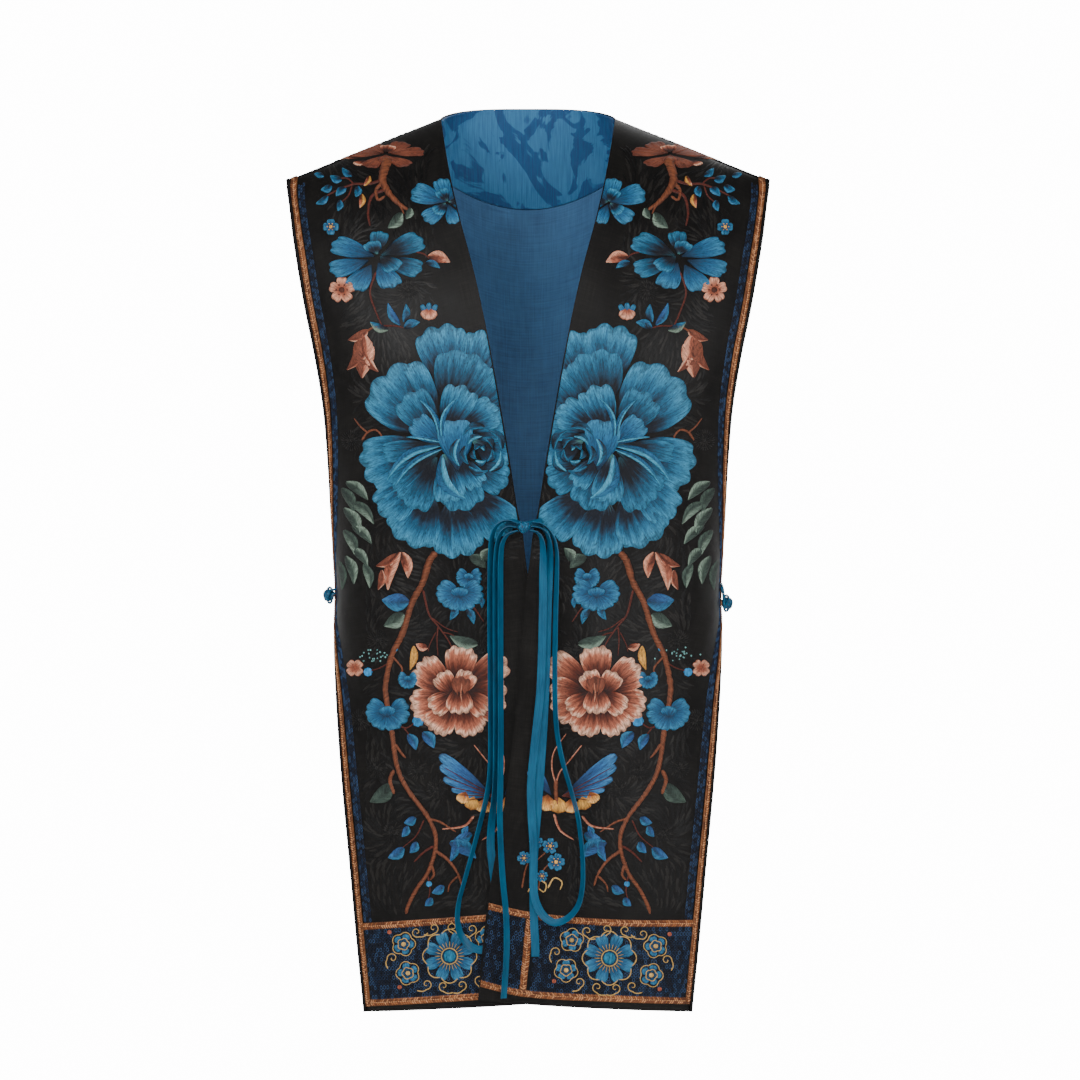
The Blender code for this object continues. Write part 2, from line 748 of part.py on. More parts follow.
def lap_braid(panel, table, span, finish):
    """The upright braid on the hem band of the lapping front."""
    half = BRAID_WIDTH / 2 + SEAM_GAP
    grid = []
    for share in (0.0, 0.5, 1.0):
        row = []
        for u in span:
            height = mixed(top_braid(table, u) - half, low_braid(table, u) + half, share)
            row.append((u, above_hem(panel, u, height)))
        grid.append(row)
    return laid_on("lap_braid", finish, panel, grid, TRIM_LIFT, BRAID_WALL)


def smooth_route(route, step):
    """Points at even steps along a smooth curve through a route's own rows."""
    fine = []
    last = len(route) - 1
    for k in range(last):
        p = [Vector(route[max(0, min(last, k + n))]) for n in (-1, 0, 1, 2)]
        for part in range(12):
            t = part / 12
            fine.append(
                0.5
                * (
                    2 * p[1]
                    + (p[2] - p[0]) * t
                    + (2 * p[0] - 5 * p[1] + 4 * p[2] - p[3]) * t * t
                    + (3 * p[1] - p[0] - 3 * p[2] + p[3]) * t**3
                )
            )
    fine.append(Vector(route[last]))
    lengths = [0.0]
    for a, b in zip(fine, fine[1:]):
        lengths.append(lengths[-1] + (b - a).to_3d().length)
    count = max(2, round(lengths[-1] / step))
    kept = []
    for n in range(count + 1):
        goal = lengths[-1] * n / count
        k = max(0, min(len(fine) - 2, bisect_right(lengths, goal) - 1))
        kept.append(fine[k].lerp(fine[k + 1], (goal - lengths[k]) / max(1e-9, lengths[k + 1] - lengths[k])))
    return kept


def body_front(beside, drop):
    """How far the front of the body lies before its middle."""
    wrap = along(SECTIONS, "front_wrap", drop)
    half = section_point(0.0, drop, "front_depth", along(SECTIONS, "half_width", drop), wrap)[2]
    round_off = (1.0 - abs(beside / half) ** ROUNDNESS) ** (1 / ROUNDNESS)
    return along(SECTIONS, "front_depth", drop) * shoulder_ramp(drop) * round_off


def ribbon(name, finish, route, step=13.0):
    """A flat ribbon along a route of strands."""
    rows = smooth_route(route, step)
    centres = [Vector((row[0], -body_front(row[0], row[1]) - row[2], -row[1])) for row in rows]
    out = Vector((0.0, -1.0, 0.0))
    skin, under = [], []
    for k, centre in enumerate(centres):
        way = (centres[min(k + 1, len(centres) - 1)] - centres[max(0, k - 1)]).normalized()
        across = way.cross(out).normalized()
        face = across.cross(way).normalized()
        turn = math.radians(rows[k][3])
        wide = across * math.cos(turn) + face * math.sin(turn)
        thick = way.cross(wide).normalized() * RIBBON_WALL / 2
        edges = [centre + wide * reach for reach in (-RIBBON_WIDTH / 2, RIBBON_WIDTH / 2)]
        skin.append([(edge + thick) * MM for edge in edges])
        under.append([(edge - thick) * MM for edge in edges])
    return wall(name, finish, skin, under)


def tube(name, finish, points, radius, sides_step=2):
    """A round cord with closed ends, through points in metres."""
    curve = bpy.data.curves.new(name, "CURVE")
    curve.dimensions = "3D"
    curve.bevel_depth = radius
    curve.bevel_resolution = sides_step
    curve.use_fill_caps = True
    line = curve.splines.new("POLY")
    line.points.add(len(points) - 1)
    for point, place in zip(line.points, points):
        point.co = (*place, 1.0)
    curve.materials.append(finish)
    thing = bpy.data.objects.new(name, curve)
    bpy.context.collection.objects.link(thing)
    return thing


def ball(name, finish, centre, half_sizes):
    """A ball with its own half sizes along X, Y and Z, in millimetres."""
    shape = bmesh.new()
    bmesh.ops.create_uvsphere(shape, u_segments=12, v_segments=8, radius=1.0)
    bmesh.ops.scale(shape, vec=Vector(half_sizes) * MM, verts=shape.verts)
    bmesh.ops.transform(shape, matrix=Matrix.Translation(centre), verts=shape.verts)
    return placed(name, finish, shape)


def toggle(spec, front, back, finish):
    """A side toggle: the ball over the gap of the side, its stem on the back, its loop on the front."""
    v_front = (spec.drop - front.shoulder(1.0)) / (front.hem(1.0) - front.shoulder(1.0))
    back_edge = 1.0 if spec.side > 0 else 0.0
    v_back = (spec.drop - back.top(back_edge)[0]) / (back.hem(back_edge) - back.top(back_edge)[0])
    before, behind = front.at(1.0, v_front, 0.0), back.at(back_edge, v_back, 0.0)
    middle = (before + behind) / 2
    along_edge = (behind - before).normalized()
    up = Vector((0.0, 0.0, 1.0))
    out = along_edge.cross(up).normalized() * spec.side
    gap = (behind - before).length / MM
    ball(f"toggle_knot_{spec.name}", finish, middle + out * TOGGLE_BALL_STAND * MM, TOGGLE_BALL_HALF_SIZES)

    def on_panel(panel, edge, v, step, sign):
        u = step.inward / panel.nominal_width
        spot = panel.at(1.0 - u if edge == 1.0 else u, v, step.lift)
        tilt = spec.slant * step.inward / LOOP_ON_FRONT[0].inward if sign else 0.0
        return spot + up * (sign * step.sideways + tilt) * MM

    stem = [on_panel(back, back_edge, v_back, step, 0) for step in STEM_ON_BACK]
    tube(f"toggle_stem_{spec.name}", finish, stem, TOGGLE_STEM_RADIUS * MM)

    def round_ball(step, sign):
        return middle + (along_edge * step.behind + up * sign * step.sideways + out * step.out) * MM

    upper = [on_panel(front, 1.0, v_front, step, 1) for step in LOOP_ON_FRONT]
    upper += [round_ball(step, 1) for step in LOOP_ROUND_BALL]
    lower = [on_panel(front, 1.0, v_front, step, -1) for step in LOOP_ON_FRONT]
    lower += [round_ball(step, -1) for step in LOOP_ROUND_BALL[:-1]]
    route = [point.to_4d() for point in upper + lower[::-1]]
    points = [point.to_3d() for point in smooth_route([tuple(point) for point in route], 4.0 * MM)]
    tube(f"toggle_loop_{spec.name}", finish, points, TOGGLE_LOOP_RADIUS * MM)
    return gap


def main():
    cleared_scene()
    finishes = {
        "satin": finish_of("black silk satin", (0.012, 0.011, 0.010), 0.42),
        "lining": finish_of("blue silk lining", (0.020, 0.085, 0.200), 0.45),
        "facing": finish_of("blue figured silk", (0.030, 0.130, 0.270), 0.40),
        "binding": finish_of("black silk binding", (0.010, 0.010, 0.012), 0.50),
        "braid": finish_of("copper thread braid", (0.420, 0.190, 0.085), 0.38, 0.5),
        "band": finish_of("navy woven band", (0.010, 0.020, 0.050), 0.60),
        "cord": finish_of("blue silk cord", (0.010, 0.120, 0.230), 0.45),
    }
    front_edges = [1.0 - inset / FRONT_WIDTH for inset in EDGE_LINES[::-1]] + [1.0]
    across_front = [front_edges[0] * k / FRONT_COLUMNS for k in range(FRONT_COLUMNS)] + front_edges
    near_seam = [0.0, 0.005, 0.014, 0.028, 0.046, 0.068]
    down = near_seam + [mixed(0.094, 1.0, k / PANEL_ROWS) for k in range(PANEL_ROWS + 1)]
    neck = NECK_HALF_WIDTH / SHOULDER_HALF_WIDTH
    neck_lines = [math.sin(math.pi * (k / 8 - 0.5)) * neck for k in range(9)]
    back_edges = [1.0 - 2 * inset / BACK_WIDTH for inset in EDGE_LINES[::-1]] + [1.0]
    shoulder_lines = [mixed(neck, back_edges[0], k / 4) for k in range(1, 4)] + back_edges
    spread = [-x for x in shoulder_lines[::-1]] + neck_lines + shoulder_lines
    across_back = [(1.0 + x) / 2 for x in spread]

    front_left = Front(1, across_front, down)
    front_right = Front(-1, across_front, down)
    back = Back(across_back, down)
    panel_wall("front_left", finishes["satin"], front_left, front_left.petal_raise)
    panel_wall("front_right", finishes["satin"], front_right, front_right.petal_raise)
    panel_wall("back", finishes["satin"], back)
    back_inside(back, finishes)

    braid_inset = BINDING_WIDTH + SEAM_GAP
    fronts = (("front_left", front_left, HEM_FRONT_LEFT), ("front_right", front_right, HEM_FRONT_RIGHT))
    for tag, panel, table in fronts:
        v_end = above_hem(panel, 1.0, low_braid(table, 1.0) - BRAID_WIDTH / 2)
        side_strip(f"binding_{tag}", finishes["binding"], panel, 0.0, BINDING_WIDTH, BINDING_WALL)
        braid = finishes["braid"]
        side_strip(f"side_braid_{tag}", braid, panel, braid_inset, BRAID_WIDTH, BRAID_WALL, v_end=v_end)
        ends = (1.0 / FRONT_WIDTH, 1.0 - (braid_inset + BRAID_WIDTH + SEAM_GAP) / FRONT_WIDTH)
        stop = None
        if panel is front_left:
            half = BRAID_WIDTH / 2
            span = [(LAP_BRAID_FROM_EDGE + reach) / FRONT_WIDTH for reach in (-half, half)]
            stop = (span[0] - SEAM_GAP / FRONT_WIDTH, span[1] + SEAM_GAP / FRONT_WIDTH)
            lap_braid(panel, table, span, finishes["braid"])
        hem_trim(tag, panel, table, ends, finishes, stop)

    v_end = above_hem(back, 1.0, low_braid(HEM_BACK, 1.0) - BRAID_WIDTH / 2)
    for tag, start in (("back_right", True), ("back_left", False)):
        side_strip(f"binding_{tag}", finishes["binding"], back, 0.0, BINDING_WIDTH, BINDING_WALL, start)
        braid = finishes["braid"]
        side_strip(f"side_braid_{tag}", braid, back, braid_inset, BRAID_WIDTH, BRAID_WALL, start, v_end)
    inner = (braid_inset + BRAID_WIDTH + SEAM_GAP) / BACK_WIDTH
    hem_trim("back", back, HEM_BACK, (inner, 1.0 - inner), finishes)

    for spec in TOGGLES:
        gap = toggle(spec, front_left if spec.side > 0 else front_right, back, finishes["cord"])
        print(f"side gap at the {spec.name} toggle: {gap:.1f} mm")
    knot_y = -body_front(KNOT_BESIDE, KNOT_DROP) - KNOT_STAND
    ball("tie_knot", finishes["cord"], Vector((KNOT_BESIDE, knot_y, -KNOT_DROP)) * MM, KNOT_HALF_SIZES)
    ribbon("tie_root_right", finishes["cord"], ROOT_RIGHT_FRONT, 5.0)
    ribbon("tie_root_left", finishes["cord"], ROOT_LEFT_FRONT, 5.0)
    ribbon("tie_loop_right", finishes["cord"], LOOP_RIGHT_FRONT)
    ribbon("tie_tail_right", finishes["cord"], TAIL_RIGHT_FRONT)
    ribbon("tie_loop_left", finishes["cord"], LOOP_LEFT_FRONT)
    ribbon("tie_tail_left", finishes["cord"], TAIL_LEFT_FRONT)


def back_inside(back, finishes):
    """The lining of the back and the facing above it. Their common edge rises to the shoulder seams."""
    share = FACING_HALF_WIDTH / SHOULDER_HALF_WIDTH

    def facing_foot(u):
        beside = abs(2 * u - 1)
        drop = mixed(FACING_DEPTH, SHOULDER_DROP * FACING_END_RISE, min(1.0, beside / share) ** 2)
        return max(0.0, (drop - back.top(u)[0]) / (back.hem(u) - back.top(u)[0]))

    within = [u for u in back.across if abs(2 * u - 1) < share - FACING_END_MARGIN]
    end = (1 - share) / 2 + FACING_END_MARGIN
    edges = [end] + within + [1 - end]
    facing = [[(u, facing_foot(u) * line / 5) for u in edges] for line in range(6)]
    laid_on("neck_facing", finishes["facing"], back, facing, -WALL - LINING_LIFT - LINING_WALL, LINING_WALL)

    gap = 1.0 / LENGTH_AT_SIDE
    v_foot = 1.0 - LINING_ABOVE_HEM / LENGTH_AT_SIDE
    inset = EDGE_LINES[0] / BACK_WIDTH
    columns = [inset] + [u for u in back.across if inset < u < 1 - inset] + [1 - inset]

    def lining_top(u):
        return facing_foot(u) + gap if abs(2 * u - 1) < share else back.down[1]

    waist = [k for k, v in enumerate(back.down) if v < 0.2 or WAIST[0] < v < WAIST[1] or k % 2 == 0]
    lines = [back.down[k] for k in waist if back.down[k] < v_foot - 0.01] + [v_foot]
    lining = []
    for number, v in enumerate(lines):
        lining.append([(u, max(v, lining_top(u) + 0.002 * number * (v < 0.2))) for u in columns])
    laid_on("back_lining", finishes["lining"], back, lining, -WALL - LINING_LIFT - LINING_WALL, LINING_WALL)


main()
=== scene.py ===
# %% [markdown]
# # A long embroidered silk waistcoat
# The real one is cut from black silk satin: two fronts and a back, sewn only at the shoulders.
# Each side is closed by one ball and loop, and the fronts by a ribbon tie. The shapes here repeat
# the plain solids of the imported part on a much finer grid, so that cloth, braid and stitches can
# lie on the same form. Everything is in metres, +Z is up and the front faces -Y.

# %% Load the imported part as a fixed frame
import math
from bisect import bisect_right
from collections import namedtuple

import bmesh
import bpy
import numpy as np
from mathutils import Matrix, Vector


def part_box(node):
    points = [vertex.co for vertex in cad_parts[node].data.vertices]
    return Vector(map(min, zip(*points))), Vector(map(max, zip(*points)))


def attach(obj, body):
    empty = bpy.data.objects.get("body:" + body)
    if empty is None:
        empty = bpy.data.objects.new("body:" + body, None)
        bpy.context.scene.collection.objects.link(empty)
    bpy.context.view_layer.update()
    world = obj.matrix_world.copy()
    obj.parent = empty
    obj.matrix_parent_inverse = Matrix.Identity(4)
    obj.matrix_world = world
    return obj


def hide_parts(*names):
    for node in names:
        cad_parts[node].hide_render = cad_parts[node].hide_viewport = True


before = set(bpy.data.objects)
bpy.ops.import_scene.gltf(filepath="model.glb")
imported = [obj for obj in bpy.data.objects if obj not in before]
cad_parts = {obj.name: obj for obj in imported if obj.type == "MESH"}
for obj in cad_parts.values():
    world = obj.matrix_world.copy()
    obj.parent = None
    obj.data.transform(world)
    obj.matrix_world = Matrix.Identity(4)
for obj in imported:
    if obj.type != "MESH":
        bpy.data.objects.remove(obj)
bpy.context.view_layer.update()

CHANCE = np.random.default_rng(11)
MM = 0.001

# %% [markdown]
# ## Camera
# The photograph is a straight front view from far off, so the camera stands six metres away with a
# long lens. One pixel of a 1080 pixel wide picture is 0.88 mm on the plane of the shoulders. The
# same numbers later put each stitched flower at its place.

# %% Camera at the photograph's angle
PIXEL_MM = 0.88
PICTURE = 1080
MIDDLE_PIXEL, NECK_PIXEL = 528.0, 118.0
CAMERA_AWAY_MM = 6000.0
SENSOR_MM = 36.0
VIEW_MIDDLE = ((PICTURE / 2 - MIDDLE_PIXEL) * PIXEL_MM, (PICTURE / 2 - NECK_PIXEL) * PIXEL_MM)

camera_data = bpy.data.cameras.new("camera")
camera_data.sensor_width = SENSOR_MM
camera_data.lens = SENSOR_MM * CAMERA_AWAY_MM / (PICTURE * PIXEL_MM)
camera_data.clip_end = 30.0
camera = bpy.data.objects.new("camera", camera_data)
camera.location = (VIEW_MIDDLE[0] * MM, -CAMERA_AWAY_MM * MM, -VIEW_MIDDLE[1] * MM)
camera.rotation_euler = (math.radians(90), 0.0, 0.0)
bpy.context.scene.collection.objects.link(camera)
bpy.context.scene.camera = camera
print("camera at", tuple(round(value, 3) for value in camera.location))

# %% [markdown]
# ## The cut
# A dressmaker drafts from a table of body widths and depths at a few heights. The table below gives
# them in millimetres below the neck, and a smooth curve runs through its rows. Each section is a
# rounded oval, a superellipse, which a grid of points follows from the front edge to the side.

# %% Sizes and tables of the cut, in millimetres
LENGTH_AT_FRONT_EDGE, LENGTH_AT_SIDE = 770.0, 783.0
FRONT_WIDTH, BACK_WIDTH = 190.0, 400.0
NECK_HALF_WIDTH, NECK_RISE_AT_BACK, NECK_DEPTH_AT_BACK = 77.0, 11.4, 42.0
SHOULDER_HALF_WIDTH, SHOULDER_DROP, SHOULDER_SEAM_BACK = 212.5, 55.4, 10.0
WALL, SEAM_GAP, TRIM_LIFT = 1.6, 0.3, 0.5
LINING_LIFT, LINING_WALL, LINING_ABOVE_HEM = 0.6, 1.0, 12.0
FACING_DEPTH, FACING_HALF_WIDTH, FACING_END_RISE = 76.0, 117.0, 0.30
BRAID_WIDTH, BINDING_WIDTH, BAND_WALL = 6.0, 3.2, 0.6
ON_BAND = TRIM_LIFT + BAND_WALL
EDGE_LINES = (3.35, 9.65)
LAP_RISE, LAP_STARTS, LAP_FULL, LAP_EASE = 4.5, 360.0, 404.0, 40.0
ROUNDNESS, SHOULDER_ROUND, NAPE_ROUND, HEM_CURVE = 2.3, 52.0, 90.0, 6.0
CREASE_LEANS_OVER, PUSH_SIDEWAYS, SEAM_ZONE = 300.0, 0.6, 120.0


def rows_of(kind, rows):
    """A table whose rows have named columns."""
    return tuple(kind(*row) for row in rows)


Section = namedtuple("Section", "drop half_width front_depth back_depth front_wrap back_wrap back_tuck")
SECTIONS = rows_of(Section, (
    (0, 214.0, 60, 62, 90, 90, 0.0),
    (30, 214.0, 70, 72, 90, 90, 0.0),
    (55, 212.5, 78, 78, 88, 88, 0.0),
    (80, 209.0, 85, 86, 74, 74, 1.0),
    (112, 204.5, 93, 93, 66, 65, 2.5),
    (165, 195.0, 107, 100, 62, 60, 3.0),
    (213, 185.0, 115, 101, 61, 59, 3.0),
    (256, 178.0, 116, 98, 64, 61, 3.0),
    (300, 174.5, 112, 93, 71, 67, 2.5),
    (345, 172.5, 106, 88, 81, 76, 1.5),
    (378, 171.0, 102, 86, 89, 81, 0.5),
    (412, 169.5, 100, 86, 94, 83, 0.0),
    (440, 169.5, 100, 88, 92.5, 83, 0.0),
    (475, 169.0, 100, 91, 82, 74, 1.5),
    (520, 166.5, 100, 94, 70, 65, 3.0),
    (580, 162.0, 98, 94, 64, 61, 4.0),
    (660, 154.5, 95, 91, 61, 59, 4.0),
    (720, 149.0, 92, 88, 60, 58, 4.0),
    (785, 142.5, 89, 85, 60, 58, 4.0),
))
EdgeStep = namedtuple("EdgeStep", "drop beside")
FRONT_EDGE = rows_of(EdgeStep, (
    (0, 77.0), (48, 69.0), (92, 59.0), (137, 47.0), (186, 36.3), (238, 26.6), (300, 16.0), (347, 8.6),
    (366, 4.4), (390, 1.6), (407, -0.8), (500, -8.5), (583, -17.6), (691, -35.0), (785, -44.0),
))
Crease = namedtuple("Crease", "across width depth starts full lean")
FRONT_CREASES = rows_of(Crease, (
    (0.60, 26.0, 2.4, 470.0, 690.0, 0.04),
    (0.80, 20.0, -1.6, 500.0, 740.0, 0.02),
    (0.93, 16.0, 1.6, 300.0, 400.0, -0.10),
))
BACK_CREASES = rows_of(Crease, (
    (0.24, 30.0, 2.2, 430.0, 680.0, 0.02),
    (0.40, 26.0, -2.0, 480.0, 730.0, 0.01),
    (0.55, 34.0, 3.0, 410.0, 640.0, -0.01),
    (0.76, 28.0, 2.0, 450.0, 700.0, -0.02),
))
HemStep = namedtuple("HemStep", "across low_braid top_braid")
HEM_FRONT_LEFT = rows_of(HemStep, (
    (0.0, 15.0, 82.0), (0.2, 9.5, 77.0), (0.55, 9.5, 75.0), (1.0, 9.5, 77.5),
))
HEM_FRONT_RIGHT = rows_of(HemStep, (
    (0.0, 10.5, 78.0), (0.45, 9.5, 76.5), (1.0, 7.5, 74.0),
))
HEM_BACK = rows_of(HemStep, (
    (0.0, 8.5, 75.0), (1.0, 8.5, 75.0),
))
LAP_BRAID_FROM_EDGE = 36.5
print("the cut has", len(SECTIONS), "sections")

# %% [markdown]
# ## Small wrinkles
# Worn satin is never quite flat. Besides the long soft folds of the cut there are short shallow
# ones: drag lines that run to the side toggles, and slack near the hem. Each row below is a trough
# or a ridge between two places, given on the photograph's own pixels.

# %% Wrinkles listed one by one, and how to read a smooth table
Wrinkle = namedtuple("Wrinkle", "beside_1 drop_1 beside_2 drop_2 width depth")
FRONT_WRINKLES = rows_of(Wrinkle, (
    (166, 424, 128, 470, 9.0, -1.1),
    (166, 416, 136, 384, 8.0, -0.9),
    (164, 436, 140, 520, 10.0, 0.9),
    (120, 450, 96, 560, 14.0, 0.9),
    (60, 560, 44, 650, 12.0, -0.8),
    (92, 600, 84, 690, 13.0, 0.9),
    (40, 420, 60, 500, 11.0, 0.7),
    (186, 110, 150, 170, 16.0, -0.8),
    (150, 220, 120, 300, 18.0, 0.7),
    (74, 40, 100, 110, 14.0, -0.7),
    (52, 130, 84, 200, 16.0, 0.6),
))
BACK_WRINKLES = rows_of(Wrinkle, (
    (-160, 424, -120, 460, 10.0, 1.1),
    (160, 424, 124, 452, 10.0, 1.1),
    (-150, 440, -128, 520, 12.0, -0.9),
    (152, 446, 120, 540, 12.0, -0.8),
    (-60, 110, -110, 150, 22.0, 1.2),
    (66, 120, 118, 158, 20.0, 1.0),
    (-20, 420, 30, 440, 12.0, 1.0),
    (-50, 446, 10, 462, 13.0, -0.8),
))


def eased(share):
    """0 to 1 with level ends."""
    share = max(0.0, min(1.0, share))
    return share * share * (3.0 - 2.0 * share)


def mixed(a, b, share):
    return a + (b - a) * share


def along(table, column, at):
    """A smooth value of one column at a drop or a share, through every row of the table."""
    keys = [row[0] for row in table]
    values = [getattr(row, column) for row in table]
    last = len(keys) - 1
    at = max(keys[0], min(keys[last], at))
    k = max(0, min(last - 1, bisect_right(keys, at) - 1))

    def slope(i):
        before, after = max(0, i - 1), min(last, i + 1)
        return (values[after] - values[before]) / (keys[after] - keys[before])

    span = keys[k + 1] - keys[k]
    t = (at - keys[k]) / span
    start = (2 * t**3 - 3 * t**2 + 1) * values[k] + (t**3 - 2 * t**2 + t) * span * slope(k)
    end = (3 * t**2 - 2 * t**3) * values[k + 1] + (t**3 - t**2) * span * slope(k + 1)
    return start + end


def wrinkled(wrinkles, beside, drop):
    """How far the wrinkles move the cloth out at this place, in millimetres."""
    total = 0.0
    for fold in wrinkles:
        run_x, run_z = fold.beside_2 - fold.beside_1, fold.drop_2 - fold.drop_1
        length = math.hypot(run_x, run_z)
        share = ((beside - fold.beside_1) * run_x + (drop - fold.drop_1) * run_z) / length**2
        if not -0.3 < share < 1.3:
            continue
        off = ((beside - fold.beside_1) * run_z - (drop - fold.drop_1) * run_x) / length
        fade = eased((share + 0.3) / 0.5) * eased((1.3 - share) / 0.7)
        total += fold.depth * fade * math.exp(-((off / fold.width) ** 2))
    return total


print("wrinkles:", len(FRONT_WRINKLES), "on each front and", len(BACK_WRINKLES), "on the back")

# %% [markdown]
# ## Panels
# A panel is one cut piece. u runs across it and v from its top to its hem, both from 0 to 1. It is
# worked out once as a grid, and any place on the cloth is then read from that grid, moved out by a
# lift. Braid, bands and stitches all use that reading, so nothing floats or sinks.

# %% The panels' shapes


def power(value, exponent):
    return math.copysign(abs(value) ** exponent, value)


def section_point(angle, drop, depth_column, half_width, wrap):
    """Where the body's section at this drop lies, seen at an angle from the middle of its face."""
    half = half_width / power(math.sin(math.radians(min(90.0, wrap))), 2 / ROUNDNESS)
    turn = math.radians(angle)
    beside = half * power(math.sin(turn), 2 / ROUNDNESS)
    out = along(SECTIONS, depth_column, drop) * power(math.cos(turn), 2 / ROUNDNESS)
    return beside, out, half


def angle_at(beside, half):
    return math.degrees(math.asin(power(max(-1.0, min(1.0, beside / half)), ROUNDNESS / 2)))


def even_angles(start, end, spot, count=48):
    """A table of (share of a row's length, angle), and the length in millimetres."""
    angles = [mixed(start, end, k / count) for k in range(count + 1)]
    places = [spot(angle, k / count) for k, angle in enumerate(angles)]
    total, lengths = 0.0, [0.0]
    for a, b in zip(places, places[1:]):
        total += math.dist(a, b)
        lengths.append(total)
    return ([length / total for length in lengths], angles), total


def shoulder_ramp(below_seam):
    """How much of its full depth the body has reached, this far below the shoulder seam."""
    return (1.0 - math.exp(-max(0.0, below_seam) / SHOULDER_ROUND)) ** 0.75


def creased(creases, u, drop, width):
    """How far the creases push the cloth in at this place, in millimetres."""
    total = 0.0
    for crease in creases:
        grown = eased((drop - crease.starts) / (crease.full - crease.starts))
        middle = crease.across + crease.lean * (drop - crease.starts) / CREASE_LEANS_OVER
        total += crease.depth * grown * math.exp(-(((u - middle) * width / crease.width) ** 2))
    return total


class Panel:
    """A grid of points on a cut piece, and how to read places between them."""

    LOOKUP_STEP = 1.0

    def __init__(self, across, down):
        self.across, self.down = np.array(across), np.array(down)
        self.points = np.array([[self.place(u, v) for u in across] for v in down])
        downwards, rightwards = np.gradient(self.points, axis=0), np.gradient(self.points, axis=1)
        normals = np.cross(downwards, rightwards) * self.outward
        for j, u in enumerate(across):
            share = self.seam_share(u)
            level = normals[0, j] * (1.0, 1.0 - share, 1.0)
            normals[0, j] = level
        self.normals = normals / np.linalg.norm(normals, axis=2, keepdims=True)
        beside = self.points[..., 0] * self.facing
        self.low = beside.min()
        steps = int((beside.max() - self.low) / self.LOOKUP_STEP) + 2
        marks = self.low + np.arange(steps) * self.LOOKUP_STEP
        self.lookup = np.array([np.interp(marks, row, self.across) for row in beside])
        self.tops = np.array([self.drop(u, 0.0) for u in across])
        self.hems = np.array([self.hem(u) for u in across])

    @staticmethod
    def read(grid, row, column):
        """Values of a grid between its points, for whole arrays of rows and columns."""
        i = np.clip(row.astype(int), 0, grid.shape[0] - 2)
        j = np.clip(column.astype(int), 0, grid.shape[1] - 2)
        down, right = row - i, column - j
        if grid.ndim == 3:
            down, right = down[..., None], right[..., None]
        top = grid[i, j] * (1 - right) + grid[i, j + 1] * right
        low = grid[i + 1, j] * (1 - right) + grid[i + 1, j + 1] * right
        return top * (1 - down) + low * down

    def at(self, u, v, lift):
        """Points of the cloth in metres, moved out by lift millimetres."""
        u, v, lift = np.broadcast_arrays(*(np.asarray(part, float) for part in (u, v, lift)))
        column = np.interp(u, self.across, np.arange(len(self.across)))
        row = np.interp(v, self.down, np.arange(len(self.down)))
        normal = self.read(self.normals, row, column)
        normal = normal / np.linalg.norm(normal, axis=-1, keepdims=True)
        return self.own_side(self.read(self.points, row, column) + normal * lift[..., None]) * MM

    def own_side(self, points):
        """Keeps points near the shoulder seam on their own side of the seam's upright plane."""
        beside, drop = np.abs(points[..., 0]), -points[..., 2]
        past = (beside - NECK_HALF_WIDTH) / (SHOULDER_HALF_WIDTH - NECK_HALF_WIDTH)
        plane = SHOULDER_SEAM_BACK * (1.0 - past) + self.seam_side * SEAM_GAP / 2
        kept = np.maximum(points[..., 1], plane) if self.seam_side > 0 else np.minimum(points[..., 1], plane)
        near = (beside >= NECK_HALF_WIDTH) & (drop <= SEAM_ZONE)
        points[..., 1] = np.where(near, kept, points[..., 1])
        return points

    def locate(self, beside, drop):
        """The u and v of places given in millimetres beside the middle and below the neck."""
        beside, drop = np.asarray(beside, float), np.asarray(drop, float)
        u = np.full(beside.shape, 0.5)
        for _ in range(5):
            top, hem = np.interp(u, self.across, self.tops), np.interp(u, self.across, self.hems)
            v = np.clip((drop - top) / (hem - top), 0.0, 1.0)
            row = np.interp(v, self.down, np.arange(len(self.down)))
            column = np.clip((beside - self.low) / self.LOOKUP_STEP, 0, self.lookup.shape[1] - 1)
            u = self.read(self.lookup, row, column)
        return u, v

    def row_angle(self, u, v):
        """The section angle at u. Near a side edge u counts millimetres of the nominal width."""
        (shares, angles), length = self.row(v)
        near, real = EDGE_LINES[-1] / self.nominal_width, EDGE_LINES[-1] / length
        start_near, start_real = (near, real) if self.both_sides else (0.0, 0.0)
        if u > 1.0 - near:
            share = 1.0 - (1.0 - u) * self.nominal_width / length
        elif u < near and self.both_sides:
            share = u * self.nominal_width / length
        else:
            share = start_real + (u - start_near) / (1.0 - near - start_near) * (1.0 - real - start_real)
        return float(np.interp(share, shares, angles))


